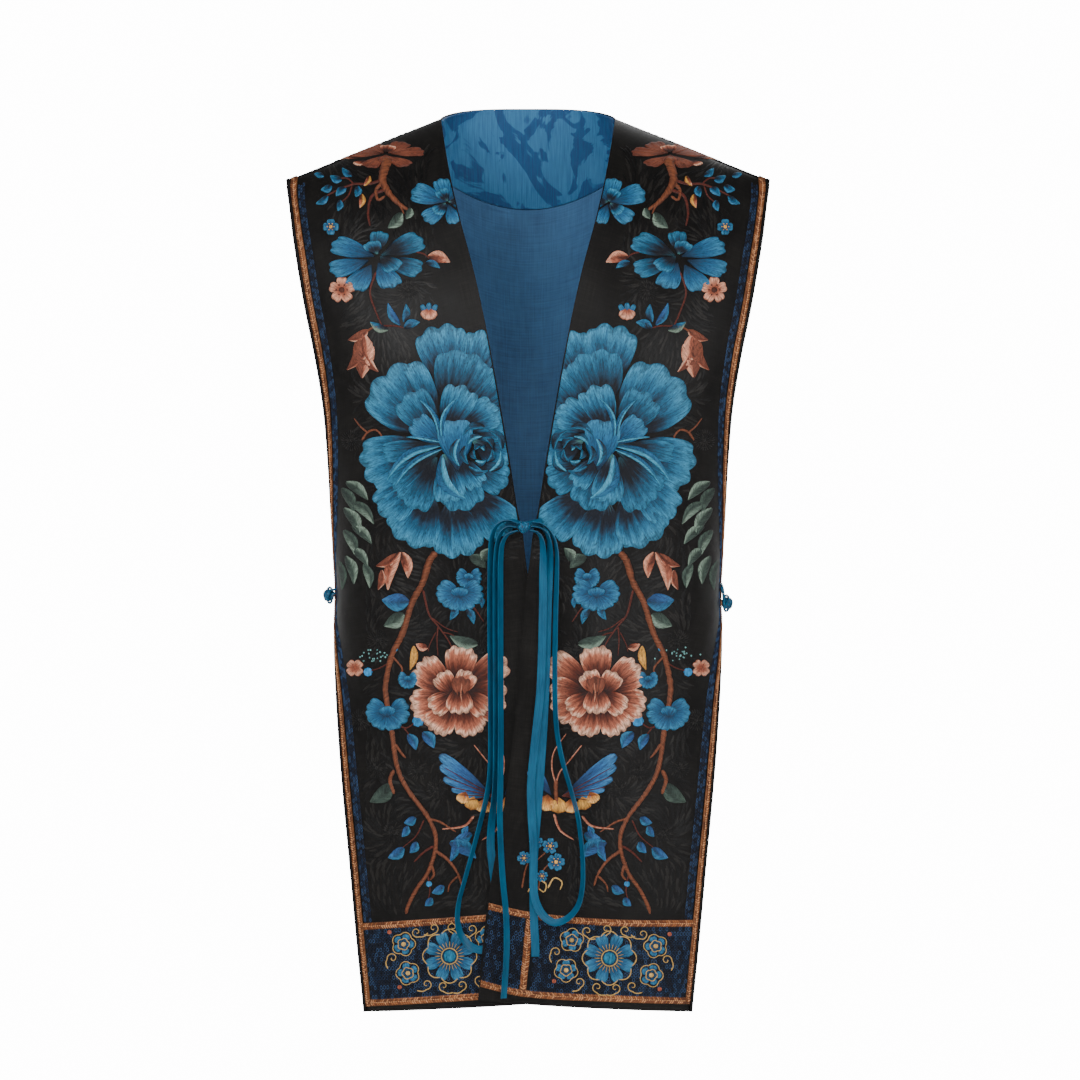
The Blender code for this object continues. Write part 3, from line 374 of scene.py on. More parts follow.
class Front(Panel):
    """A front, with u from its own edge to the side. side is +1 on the left one, which laps over."""

    nominal_width, both_sides, seam_side = FRONT_WIDTH, False, -1

    def __init__(self, side, across, down):
        self.side = self.outward = self.facing = side
        self.rows = {}
        super().__init__(across, down)

    def seam_share(self, u):
        return 1.0

    def shoulder(self, u):
        return SHOULDER_DROP * u

    def hem(self, u):
        return mixed(LENGTH_AT_FRONT_EDGE, LENGTH_AT_SIDE, u**0.8)

    def drop(self, u, v):
        return mixed(self.shoulder(u), self.hem(u), v)

    def row(self, v):
        """The angles across one row of the front, and its length."""
        if v not in self.rows:
            edge_drop, side_drop = self.drop(0.0, v), self.drop(1.0, v)

            def spot(angle, share):
                drop = mixed(edge_drop, side_drop, share)
                wrap = along(SECTIONS, "front_wrap", drop)
                half_width = along(SECTIONS, "half_width", drop)
                beside, out, _ = section_point(angle, drop, "front_depth", half_width, wrap)
                return beside, out * shoulder_ramp(v * LENGTH_AT_SIDE)

            half_width = along(SECTIONS, "half_width", edge_drop)
            wrap = along(SECTIONS, "front_wrap", edge_drop)
            half = section_point(0.0, edge_drop, "front_depth", half_width, wrap)[2]
            start = angle_at(along(FRONT_EDGE, "beside", edge_drop), half)
            self.rows[v] = even_angles(start, along(SECTIONS, "front_wrap", side_drop), spot)
        return self.rows[v]

    def place(self, u, v):
        angle, drop = self.row_angle(u, v), self.drop(u, v)
        wrap = along(SECTIONS, "front_wrap", drop)
        beside, out, _ = section_point(angle, drop, "front_depth", along(SECTIONS, "half_width", drop), wrap)
        seam = SHOULDER_SEAM_BACK * (1.0 - u) - SEAM_GAP / 2
        y = mixed(seam, -out, shoulder_ramp(drop - self.shoulder(u)))
        turn = math.radians(angle)
        push = -creased(FRONT_CREASES, u, drop, FRONT_WIDTH) + self.lap_rise(beside, drop)
        calm = eased(beside / 60.0) if drop > LAP_STARTS else 1.0
        push += wrinkled(FRONT_WRINKLES, beside, drop) * calm * eased((drop - self.shoulder(u)) / 30.0)
        beside += push * math.sin(turn) * PUSH_SIDEWAYS
        y -= push * math.cos(turn)
        return self.side * beside, y, -drop

    def lap_rise(self, beside, drop):
        """How far the lapping front stands out, to clear the front below it."""
        if self.side < 0:
            return 0.0
        covered = -along(FRONT_EDGE, "beside", drop)
        across = eased((covered + 2 * LAP_EASE + 5.0 - beside) / LAP_EASE)
        return LAP_RISE * across * eased((drop - LAP_STARTS) / (LAP_FULL - LAP_STARTS))


class Back(Panel):
    """The back, with u from the wearer's right side to the left."""

    nominal_width, both_sides, seam_side = BACK_WIDTH, True, 1
    outward, facing = -1, 1

    def __init__(self, across, down):
        self.rows = {}
        super().__init__(across, down)

    def neck_share(self, u):
        """0 at the middle of the neck, 1 at the neck ends of the shoulder seams and past them."""
        return min(1.0, abs(mixed(-SHOULDER_HALF_WIDTH, SHOULDER_HALF_WIDTH, u)) / NECK_HALF_WIDTH)

    def seam_share(self, u):
        return 1.0 if self.neck_share(u) > 0.999 else 0.0

    def top(self, u):
        beside = abs(mixed(-SHOULDER_HALF_WIDTH, SHOULDER_HALF_WIDTH, u))
        past = (beside - NECK_HALF_WIDTH) / (SHOULDER_HALF_WIDTH - NECK_HALF_WIDTH)
        if past >= 0:
            return SHOULDER_DROP * past, SHOULDER_SEAM_BACK * (1.0 - past) + SEAM_GAP / 2
        share = self.neck_share(u)
        rise = NECK_RISE_AT_BACK * (1.0 - share**3) ** 0.6
        return -rise, SHOULDER_SEAM_BACK + SEAM_GAP / 2 + NECK_DEPTH_AT_BACK * math.sqrt(1.0 - share**2)

    def hem(self, u):
        return mixed(LENGTH_AT_SIDE, LENGTH_AT_SIDE - HEM_CURVE, 1.0 - abs(2 * u - 1) ** 2)

    def drop(self, u, v):
        return mixed(self.top(u)[0], self.hem(u), v)

    def half(self, drop):
        return along(SECTIONS, "half_width", drop) - along(SECTIONS, "back_tuck", drop)

    def row(self, v):
        if v not in self.rows:
            side_drop = self.drop(1.0, v)
            wrap = along(SECTIONS, "back_wrap", side_drop)

            def spot(angle, share):
                beside, out, _ = section_point(angle, side_drop, "back_depth", self.half(side_drop), wrap)
                return beside, out * shoulder_ramp(v * LENGTH_AT_SIDE)

            self.rows[v] = even_angles(-wrap, wrap, spot, 96)
        return self.rows[v]

    def place(self, u, v):
        angle, drop, side_drop = self.row_angle(u, v), self.drop(u, v), self.drop(1.0, v)
        wrap = along(SECTIONS, "back_wrap", side_drop)
        beside = section_point(angle, side_drop, "back_depth", self.half(side_drop), wrap)[0]
        out = section_point(angle, drop, "back_depth", self.half(drop), wrap)[1]
        top, seam = self.top(u)
        at_nape = 1.0 - math.exp(-(drop - top) / NAPE_ROUND)
        y = mixed(seam, out, mixed(at_nape, shoulder_ramp(drop - top), self.neck_share(u) ** 2))
        turn = math.radians(angle)
        push = wrinkled(BACK_WRINKLES, beside, drop) * eased((drop - top) / 30.0)
        push -= creased(BACK_CREASES, u, drop, BACK_WIDTH)
        return beside + push * math.sin(turn) * PUSH_SIDEWAYS, y + push * math.cos(turn), -drop


FINE_COLUMNS, FINE_ROWS = ((56, 184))
front_edges = [1.0 - inset / FRONT_WIDTH for inset in EDGE_LINES[::-1]] + [1.0]
across_front = [front_edges[0] * k / FINE_COLUMNS for k in range(FINE_COLUMNS)] + front_edges
down_panel = [0.0, 0.0015, 0.004] + [0.008 + 0.992 * k / FINE_ROWS for k in range(FINE_ROWS + 1)]
neck = NECK_HALF_WIDTH / SHOULDER_HALF_WIDTH
neck_lines = [math.sin(math.pi * (k / 28 - 0.5)) * neck for k in range(29)]
back_edges = [1.0 - 2 * inset / BACK_WIDTH for inset in EDGE_LINES[::-1]] + [1.0]
shoulder_lines = [mixed(neck, back_edges[0], k / 34) for k in range(1, 34)] + back_edges
across_back = [(1.0 + x) / 2 for x in [-x for x in shoulder_lines[::-1]] + neck_lines + shoulder_lines]
front_left = Front(1, across_front, down_panel)
front_right = Front(-1, across_front, down_panel)
back = Back(across_back, down_panel)
print("grids:", front_left.points.shape[:2], "on each front and", back.points.shape[:2], "on the back")

# %% [markdown]
# ## Colours and materials
# Silk, gold thread and cotton cord look different mostly in how they shine: satin has a soft broad
# gloss, floss shines along its threads, and wrapped metal thread glints. Colours are written as
# sRGB hex values, and one function turns them to linear light.

# %% Colour and node helpers


def linear(code):
    """An sRGB hex colour as linear red, green, blue and alpha."""
    parts = [int(code[k : k + 2], 16) / 255 for k in (1, 3, 5)]
    return (*(c / 12.92 if c <= 0.04045 else ((c + 0.055) / 1.055) ** 2.4 for c in parts), 1.0)


def add(tree, kind, values=None, links=None, **settings):
    """Adds one node with its settings, its fixed values and its incoming links."""
    made = tree.nodes.new(kind)
    for name, value in settings.items():
        setattr(made, name, value)
    for socket, value in (values or {}).items():
        made.inputs[socket].default_value = value
    for socket, source in (links or {}).items():
        tree.links.new(source, made.inputs[socket])
    return made


def material(name, values):
    """A Principled material, with fixed values on the shader's own sockets."""
    made = bpy.data.materials.new(name)
    made.use_nodes = True
    shader = made.node_tree.nodes["Principled BSDF"]
    for socket, value in values.items():
        shader.inputs[socket].default_value = value
    return made, made.node_tree, shader


def stops(tree, source, *colours):
    """A ramp through sRGB colours, each given as (place, hex)."""
    ramp = add(tree, "ShaderNodeValToRGB", links={"Fac": source})
    elements = ramp.color_ramp.elements
    elements[0].position, elements[0].color = colours[0][0], linear(colours[0][1])
    elements[1].position, elements[1].color = colours[-1][0], linear(colours[-1][1])
    for place, code in colours[1:-1]:
        elements.new(place).color = linear(code)
    return ramp.outputs["Color"]


def stretched(tree, source, scale, turn=0.0):
    """Coordinates multiplied by a scale, and turned in their plane."""
    values = {"Scale": scale, "Rotation": (0.0, 0.0, turn)}
    return add(tree, "ShaderNodeMapping", values, {"Vector": source}).outputs["Vector"]


def grain(tree, source, scale, detail=2.0, roughness=0.5):
    values = {"Scale": scale, "Detail": detail, "Roughness": roughness}
    return add(tree, "ShaderNodeTexNoise", values, {"Vector": source}).outputs["Fac"]


def average(tree, first, second):
    both = add(tree, "ShaderNodeMath", links={0: first, 1: second}, operation="ADD").outputs[0]
    return add(tree, "ShaderNodeMath", {1: 0.5}, {0: both}, operation="MULTIPLY").outputs[0]


def bumped(tree, shader, height, strength, distance_mm):
    """Small relief from a height between 0 and 1."""
    values = {"Strength": strength, "Distance": distance_mm * MM}
    bump = add(tree, "ShaderNodeBump", values, {"Height": height})
    tree.links.new(bump.outputs["Normal"], shader.inputs["Normal"])


print("black satin's darkest colour in linear light:", [round(c, 4) for c in linear("#141211")[:3]])

# %% [markdown]
# ## Silks
# The outside is black silk satin. Its warp floats make faint upright lines, and slubs and slack in
# the weave show as soft brownish clouds. Real warp threads are 0.1 mm apart, too fine for a picture,
# so the lines are drawn 1 mm apart. The UV map of each panel is in metres of cloth, which keeps the
# grain straight on the body's curves. The lining is a thinner plain silk, dyed blue.

# %% Silk materials


def silk(name, dark, middle, light, warp_mm, cloud_mm, values, bump=0.35):
    """A woven silk on the cloth's own UV map: warp lines, weft lines and slow clouds of colour."""
    made, tree, shader = material(name, values)
    cloth = add(tree, "ShaderNodeTexCoord").outputs["UV"]
    warp = grain(tree, stretched(tree, cloth, (1.0, 0.035, 1.0)), 1 / (warp_mm * MM), 2.0)
    weft = grain(tree, stretched(tree, cloth, (0.05, 1.0, 1.0)), 0.8 / (warp_mm * MM), 2.0)
    cloud = grain(tree, stretched(tree, cloth, (1.0, 0.6, 1.0)), 1 / (cloud_mm * MM), 5.0, 0.6)
    height = average(tree, warp, weft)
    colour = stops(tree, average(tree, height, cloud), (0.36, dark), (0.5, middle), (0.64, light))
    tree.links.new(colour, shader.inputs["Base Color"])
    rough = values["Roughness"]
    spread = {"From Min": 0.35, "From Max": 0.65, "To Min": rough - 0.06, "To Max": rough + 0.08}
    gloss = add(tree, "ShaderNodeMapRange", spread, {"Value": cloud})
    tree.links.new(gloss.outputs["Result"], shader.inputs["Roughness"])
    bumped(tree, shader, height, bump, 0.25)
    return made


SATIN_GLOSS = {"Roughness": 0.41, "Sheen Weight": 0.02, "Sheen Roughness": 0.4, "Specular IOR Level": 0.16}
LINING_GLOSS = {"Roughness": 0.5, "Sheen Weight": 0.06, "Sheen Roughness": 0.35, "Specular IOR Level": 0.25}
black_satin = silk("black_silk_satin", "#0a0909", "#110f0e", "#1b1917", 1.0, 38.0, SATIN_GLOSS)
blue_lining = silk("blue_habotai_silk", "#3a5c82", "#446e98", "#4c7ca8", 1.2, 60.0, LINING_GLOSS, 0.25)
black_binding = silk("black_bias_silk", "#060506", "#0a090a", "#100f10", 0.8, 20.0, SATIN_GLOSS)
band_ground = silk("navy_woven_ground", "#030408", "#05080f", "#080d18", 0.9, 12.0, SATIN_GLOSS, 0.6)


def figured_silk():
    """Blue damask: a satin cloud figure on a duller ground, both of one colour."""
    values = {"Roughness": 0.46, "Sheen Weight": 0.05, "Specular IOR Level": 0.3}
    made, tree, shader = material("blue_silk_damask", values)
    cloth = add(tree, "ShaderNodeTexCoord").outputs["UV"]
    weave = grain(tree, stretched(tree, cloth, (1.0, 0.06, 1.0)), 900.0)
    cloud = {"Scale": 26.0, "Detail": 3.0, "Distortion": 1.8}
    swirl = add(tree, "ShaderNodeTexNoise", cloud, {"Vector": cloth})
    patch = stops(tree, swirl.outputs["Fac"], (0.50, "#000000"), (0.53, "#ffffff"))
    ground = stops(tree, weave, (0.35, "#2c6492"), (0.65, "#3a79a6"))
    figure = stops(tree, weave, (0.35, "#124272"), (0.65, "#1a5484"))
    mix = add(tree, "ShaderNodeMix", data_type="RGBA", links={"Factor": patch})
    tree.links.new(ground, mix.inputs["A"])
    tree.links.new(figure, mix.inputs["B"])
    tree.links.new(mix.outputs["Result"], shader.inputs["Base Color"])
    bumped(tree, shader, weave, 0.3, 0.2)
    return made


blue_damask = figured_silk()
print("silks:", [made.name for made in (black_satin, blue_lining, black_binding, band_ground, blue_damask)])

# %% [markdown]
# ## Cloth walls
# A cut piece is a sheet with a thickness, so each one is a grid that is extruded once: the first
# layer takes the outside points and the second the inside ones. The rim between them closes the
# wall. The UV map holds metres of cloth, across and down.

# %% Building a closed cloth wall from two grids of points


def placed(name, shape, finishes, slot, *nodes):
    """Puts a finished bmesh into the scene as one named piece of the waistcoat."""
    mesh = bpy.data.meshes.new(name)
    shape.to_mesh(mesh)
    shape.free()
    return piece_of(name, mesh, finishes, slot, *nodes)


def piece_of(name, mesh, finishes, slot, *nodes):
    """Names a mesh as a piece, gives it its materials and hides the solids that it stands for."""
    mesh.shade_smooth()
    for finish in finishes:
        mesh.materials.append(finish)
    thing = bpy.data.objects.new(name, mesh)
    bpy.context.scene.collection.objects.link(thing)
    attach(thing, "root")
    if nodes:
        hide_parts(*nodes)
    return thing


def wall(name, skin, inside, finishes, slot, *nodes, uv=None):
    """A closed sheet between two grids. With two finishes the second is the inside's."""
    rows, columns = skin.shape[0] - 1, skin.shape[1] - 1
    shape = bmesh.new()
    bmesh.ops.create_grid(shape, x_segments=columns, y_segments=rows, size=1.0)
    key = shape.verts.layers.int.new("grid place")
    cloth = shape.loops.layers.uv.new("UVMap")
    for number, vert in enumerate(shape.verts):
        vert[key] = number
    made = bmesh.ops.extrude_face_region(shape, geom=shape.faces[:], use_keep_orig=True)
    below = {item for item in made["geom"] if isinstance(item, bmesh.types.BMVert)}
    flat_skin, flat_inside = skin.reshape(-1, 3), inside.reshape(-1, 3)
    if uv is None:
        across = np.linalg.norm(np.diff(skin, axis=1), axis=2).mean(axis=0)
        down = np.linalg.norm(np.diff(skin, axis=0), axis=2).mean(axis=1)
        grid = np.meshgrid(np.concatenate([[0], np.cumsum(across)]), np.concatenate([[0], np.cumsum(down)]))
        uv = np.stack(grid, axis=-1)
    flat_uv = uv.reshape(-1, 2)
    for vert in shape.verts:
        vert.co = (flat_inside if vert in below else flat_skin)[vert[key]]
    for face in shape.faces:
        inner = sum(vert in below for vert in face.verts)
        face.material_index = 1 if inner == len(face.verts) and len(finishes) > 1 else 0
        for loop in face.loops:
            loop[cloth].uv = flat_uv[loop.vert[key]]
    bmesh.ops.recalc_face_normals(shape, faces=shape.faces)
    for edge in shape.edges:
        edge.smooth = len(edge.link_faces) == 2 and edge.calc_face_angle(0.0) < math.radians(40)
    return placed(name, shape, finishes, slot, *nodes)


def panel_piece(name, panel, node):
    """A panel's satin outside and blue silk inside, as one wall."""
    u, v = np.meshgrid(panel.across, panel.down)
    finishes = [black_satin, blue_lining]
    return wall(name, panel.at(u, v, 0.0), panel.at(u, v, -WALL), finishes, "satin", node)


front_left_cloth = panel_piece("satin_front_left", front_left, "front_left")
front_right_cloth = panel_piece("satin_front_right", front_right, "front_right")
back_cloth = panel_piece("satin_back", back, "back")
panels = (front_left_cloth, front_right_cloth, back_cloth)
print("panels' faces:", [len(thing.data.polygons) for thing in panels])

# %% [markdown]
# ## Lining and neck facing
# Inside the back lies a blue silk lining, and above it a lighter facing of figured silk that shows
# at the open neck. Their common edge is a curve that rises to the shoulder seams, so both grids end
# on the same curve. Lining hangs free at the hem, so it has its own soft upright ripples.

# %% Lining and facing of the back
FACING_SHARE = FACING_HALF_WIDTH / SHOULDER_HALF_WIDTH
Ripple = namedtuple("Ripple", "across width depth")
LINING_RIPPLES = rows_of(Ripple, (
    (0.30, 0.05, 0.7), (0.42, 0.035, -0.6), (0.52, 0.04, 0.8), (0.63, 0.045, -0.6), (0.72, 0.04, 0.6),
))


def facing_foot(u):
    """The v at which the facing ends and the lining starts."""
    beside = abs(2 * u - 1)
    drop = mixed(FACING_DEPTH, SHOULDER_DROP * FACING_END_RISE, min(1.0, beside / FACING_SHARE) ** 2)
    return max(0.0, (drop - back.top(u)[0]) / (back.hem(u) - back.top(u)[0]))


end = (1 - FACING_SHARE) / 2 + 0.01
facing_u = [end] + [u for u in across_back if end < u < 1 - end] + [1 - end]
facing_grid = np.array([[(u, facing_foot(u) * line / 30) for u in facing_u] for line in range(31)])
lift = LINING_LIFT + WALL
u, v = facing_grid[..., 0], facing_grid[..., 1]
skin, under = back.at(u, v, -lift - LINING_WALL), back.at(u, v, -lift)
facing = wall("neck_facing_damask", skin, under, [blue_damask], "facing", "neck_facing")

inset, gap = EDGE_LINES[0] / BACK_WIDTH, 1.0 / LENGTH_AT_SIDE
lining_u = [inset] + [u for u in across_back if inset < u < 1 - inset] + [1 - inset]
lining_tops = [facing_foot(u) + gap if abs(2 * u - 1) < FACING_SHARE else down_panel[2] for u in lining_u]
foot = 1.0 - LINING_ABOVE_HEM / LENGTH_AT_SIDE
lining_grid = np.array([
    [(u, mixed(top, foot, line / FINE_ROWS)) for u, top in zip(lining_u, lining_tops)]
    for line in range(FINE_ROWS + 1)
])
u, v = lining_grid[..., 0], lining_grid[..., 1]
ripple = sum(row.depth * np.exp(-(((u - row.across) / row.width) ** 2)) for row in LINING_RIPPLES)
ripple = ripple * np.clip((v - 0.12) / 0.1, 0, 1)
extra = lift + LINING_WALL + 0.8 + ripple
near_edge = np.clip((0.5 - np.abs(u - 0.5)) / 0.06, 0, 1) * np.clip((v - v[0]) / 0.06, 0, 1)
extra = lift + LINING_WALL + (extra - lift - LINING_WALL) * near_edge
skin, under = back.at(u, v, -extra), back.at(u, v, -extra + LINING_WALL)
lining = wall("back_lining_silk", skin, under, [blue_lining], "lining", "back_lining")
print("facing and lining faces:", len(facing.data.polygons), len(lining.data.polygons))

# %% [markdown]
# ## Bindings, braid and woven bands
# The raw edges are bound with a narrow bias strip. Next to it runs a copper braid, a flat plait of
# metal-wrapped thread that is sewn down along both sides, and above the hem two braids frame a navy
# band. Each strip here is read from its panel, just off the cloth, and keeps its own thickness.
# A flat box would hide the plait, so the braid's middle is raised between two edge cords.

# %% Strips that lie on a panel


def laid_on(name, panel, grid, lift, height, finishes, slot, *nodes):
    """A piece that lies on a panel. Height may be one value or one for each point across."""
    u, v = grid[..., 0], grid[..., 1]
    return wall(name, panel.at(u, v, lift + height), panel.at(u, v, lift), finishes, slot, *nodes)


def between(lines, start, end):
    """A panel's own lines between two of them, with both ends."""
    return np.array([start] + [line for line in lines if start + 1e-4 < line < end - 1e-4] + [end])


def side_grid(panel, inset, width, from_start=False, v_end=1.0, lines=1):
    """The (u, v) of a strip down a panel's side edge."""
    reach = (inset + width * np.linspace(0, 1, lines + 1)) / panel.nominal_width
    u = reach if from_start else 1.0 - reach[::-1]
    return np.stack(np.meshgrid(u, between(panel.down, 0.0, v_end)), axis=-1)


def above_hem(panel, u, height):
    """The v of a place that lies this far above the hem."""
    return 1.0 - height / (panel.hem(u) - panel.drop(u, 0.0))


def hem_grid(panel, table, ends, high, low, lines=1):
    """The (u, v) of a strip above the hem. high and low give its edges at a share of the width."""
    return np.array([
        [(u, above_hem(panel, u, mixed(high(table, u), low(table, u), line / lines)))
         for u in between(panel.across, *ends)]
        for line in range(lines + 1)
    ])


def low_braid(table, u):
    return along(table, "low_braid", u)


def top_braid(table, u):
    return along(table, "top_braid", u)


def profile(lines, values):
    """Heights across a strip, spread smoothly over its lines."""
    return np.interp(np.linspace(0, 1, lines + 1), np.linspace(0, 1, len(values)), values)


HALF_BRAID = BRAID_WIDTH / 2
BRAID_LINES = 6
BRAID_PROFILE = profile(BRAID_LINES, (0.35, 0.8, 0.45, 0.75, 0.45, 0.8, 0.35))
BINDING_PROFILE = profile(3, (0.7, 1.05, 1.05, 0.7))
braid_inset = BINDING_WIDTH + SEAM_GAP
print("a braid lies", braid_inset, "mm in from the edge")

# %% Materials of metal thread


def metal_thread(name, dark, light, values, thread_mm):
    """Silk core wrapped with gilt copper strip: a warm metal, with painted shade in the gaps between its
    turns.
    """
    made, tree, shader = material(name, values)
    place = add(tree, "ShaderNodeTexCoord").outputs["Object"]
    turns = grain(tree, place, 1 / (thread_mm * MM), 3.0, 0.65)
    slow = grain(tree, place, 1 / (26 * MM), 2.0)
    # darker where the turns' relief is low, as painted shade in the gaps, mixed with a slow random tone
    colour = stops(tree, average(tree, turns, slow), (0.38, dark), (0.62, light))
    tree.links.new(colour, shader.inputs["Base Color"])
    bumped(tree, shader, turns, 0.5, 0.25)
    return made


COPPER = {"Metallic": 0.55, "Roughness": 0.42}
braid_ground = metal_thread("copper_braid_ground", "#4a2a16", "#8a5630", COPPER, 1.0)
print("braid:", braid_ground.name)

# %% All the strips
trims = {}
tables = {"front_left": HEM_FRONT_LEFT, "front_right": HEM_FRONT_RIGHT, "back": HEM_BACK}
panel_of = {"front_left": front_left, "front_right": front_right, "back": back}
braid_grids = []


def braid_piece(node, panel, grid, transposed):
    """One braid: a low wall with three ribs, ready for its plaited stitches."""
    heights = np.broadcast_to(BRAID_PROFILE[:, None] if transposed else BRAID_PROFILE, grid.shape[:2])
    trims[node] = laid_on(f"{node}_plait", panel, grid, TRIM_LIFT, heights, [braid_ground], "braid", node)
    braid_grids.append((node, panel, grid.transpose(1, 0, 2) if transposed else grid))


def side_trim(tag, panel, table, from_start=False):
    """The binding and the braid down one side edge."""
    v_end = above_hem(panel, 1.0, low_braid(table, 1.0) - HALF_BRAID)
    grid = side_grid(panel, 0.0, BINDING_WIDTH, from_start, lines=3)
    heights = np.broadcast_to(BINDING_PROFILE, grid.shape[:2])
    node = f"binding_{tag}"
    trims[node] = laid_on(f"{node}_bias", panel, grid, TRIM_LIFT, heights, [black_binding], "binding", node)
    braid = side_grid(panel, braid_inset, BRAID_WIDTH, from_start, v_end, BRAID_LINES)
    braid_piece(f"side_braid_{tag}", panel, braid, False)


side_trim("front_left", front_left, HEM_FRONT_LEFT)
side_trim("front_right", front_right, HEM_FRONT_RIGHT)
side_trim("back_right", back, HEM_BACK, True)
side_trim("back_left", back, HEM_BACK)

def band_top(table, u):
    return top_braid(table, u) - HALF_BRAID - SEAM_GAP


def band_foot(table, u):
    return low_braid(table, u) + HALF_BRAID + SEAM_GAP


lap_span = [(LAP_BRAID_FROM_EDGE + reach) / FRONT_WIDTH for reach in (-HALF_BRAID, HALF_BRAID)]
for tag, panel in panel_of.items():
    table = tables[tag]
    inner = (braid_inset + BRAID_WIDTH + SEAM_GAP) / panel.nominal_width
    ends = (inner, 1 - inner) if tag == "back" else (1 / FRONT_WIDTH, 1 - inner)
    for label, centre in (("hem_low_braid", low_braid), ("hem_top_braid", top_braid)):
        grid = hem_grid(
            panel, table, ends, lambda t, u, c=centre: c(t, u) + HALF_BRAID,
            lambda t, u, c=centre: c(t, u) - HALF_BRAID, BRAID_LINES,
        )
        braid_piece(f"{label}_{tag}", panel, grid, True)
    bands = [(f"hem_band_{tag}", ends)]
    if tag == "front_left":
        gap = SEAM_GAP / FRONT_WIDTH
        bands = [
            ("hem_band_lap", (ends[0], lap_span[0] - gap)),
            (f"hem_band_{tag}", (lap_span[1] + gap, ends[1])),
        ]
    for node, reach in bands:
        grid = hem_grid(panel, table, reach, band_top, band_foot, 16)
        cloth = [band_ground]
        trims[node] = laid_on(f"{node}_cloth", panel, grid, TRIM_LIFT, BAND_WALL, cloth, "band", node)
lap_rows = [
    [(u, above_hem(front_left, u, mixed(band_top(HEM_FRONT_LEFT, u), band_foot(HEM_FRONT_LEFT, u), share)))
     for u in np.linspace(*lap_span, BRAID_LINES + 1)]
    for share in np.linspace(0, 1, 17)
]
braid_piece("lap_braid", front_left, np.array(lap_rows), False)
print("strips:", len(trims))

# %% [markdown]
# ## The ribbon tie
# A narrow silk ribbon is sewn to each front edge and tied in a bow with long loops, so each loop
# and tail is a free cord. A ribbon is a strip swept along a route with its face turned step by step.
# The routes below are the same as the part's, in metres, with the turn of the face in degrees.

# %% Ribbon routes
Strand = namedtuple("Strand", "beside drop stand turn")
LOOP_RIGHT_FRONT = rows_of(Strand, (
    (-0.0087, 0.3569, 0.0065, 85), (-0.0155, 0.3544, 0.0065, 82), (-0.0225, 0.3554, 0.0063, 75),
    (-0.0284, 0.3605, 0.0062, 68), (-0.0314, 0.37, 0.0058, 60), (-0.0325, 0.385, 0.0054, 56),
    (-0.0328, 0.405, 0.0052, 54), (-0.0328, 0.44, 0.0052, 53), (-0.0324, 0.5, 0.0052, 53),
    (-0.0322, 0.558, 0.005, 53), (-0.0348, 0.588, 0.0048, 56), (-0.044, 0.626, 0.0048, 62),
    (-0.055, 0.666, 0.0048, 64), (-0.0598, 0.684, 0.0054, 62), (-0.0612, 0.699, 0.0056, 56),
    (-0.059, 0.7115, 0.0052, 44), (-0.053, 0.7205, 0.004, 24), (-0.0468, 0.725, 0.0023, 4),
    (-0.0405, 0.7264, 0.0021, 0), (-0.034, 0.7244, 0.0021, 0), (-0.0294, 0.7175, 0.0021, 0),
    (-0.0274, 0.706, 0.0021, 0), (-0.027, 0.69, 0.0021, 0), (-0.0284, 0.67, 0.0021, 0),
    (-0.0306, 0.652, 0.0021, 0), (-0.0322, 0.636, 0.0023, -4), (-0.0316, 0.618, 0.0036, -28),
    (-0.0298, 0.6, 0.0048, -46), (-0.0282, 0.575, 0.005, -53), (-0.028, 0.512, 0.0052, -53),
    (-0.0282, 0.44, 0.0052, -53), (-0.0282, 0.405, 0.0052, -54), (-0.0277, 0.386, 0.0054, -57),
    (-0.0262, 0.3725, 0.0058, -62), (-0.0225, 0.3636, 0.0062, -70), (-0.0165, 0.3596, 0.0064, -79),
    (-0.0105, 0.3604, 0.0065, -86),
))
TAIL_RIGHT_FRONT = rows_of(Strand, (
    (-0.0085, 0.3631, 0.0065, 85), (-0.0132, 0.3644, 0.0064, 80), (-0.0186, 0.3674, 0.0061, 72),
    (-0.0224, 0.3755, 0.0057, 62), (-0.0236, 0.388, 0.0054, 56), (-0.0238, 0.405, 0.0052, 54),
    (-0.0238, 0.44, 0.0052, 53), (-0.0236, 0.512, 0.0054, 53), (-0.0236, 0.556, 0.0062, 52),
    (-0.024, 0.586, 0.0084, 50), (-0.0244, 0.612, 0.0088, 50), (-0.0234, 0.64, 0.0088, 50),
    (-0.0216, 0.668, 0.0092, 50), (-0.0194, 0.69, 0.0098, 50), (-0.0184, 0.712, 0.0098, 48),
    (-0.0188, 0.735, 0.0096, 48), (-0.02, 0.753, 0.01, 48), (-0.0212, 0.768, 0.01, 48),
))
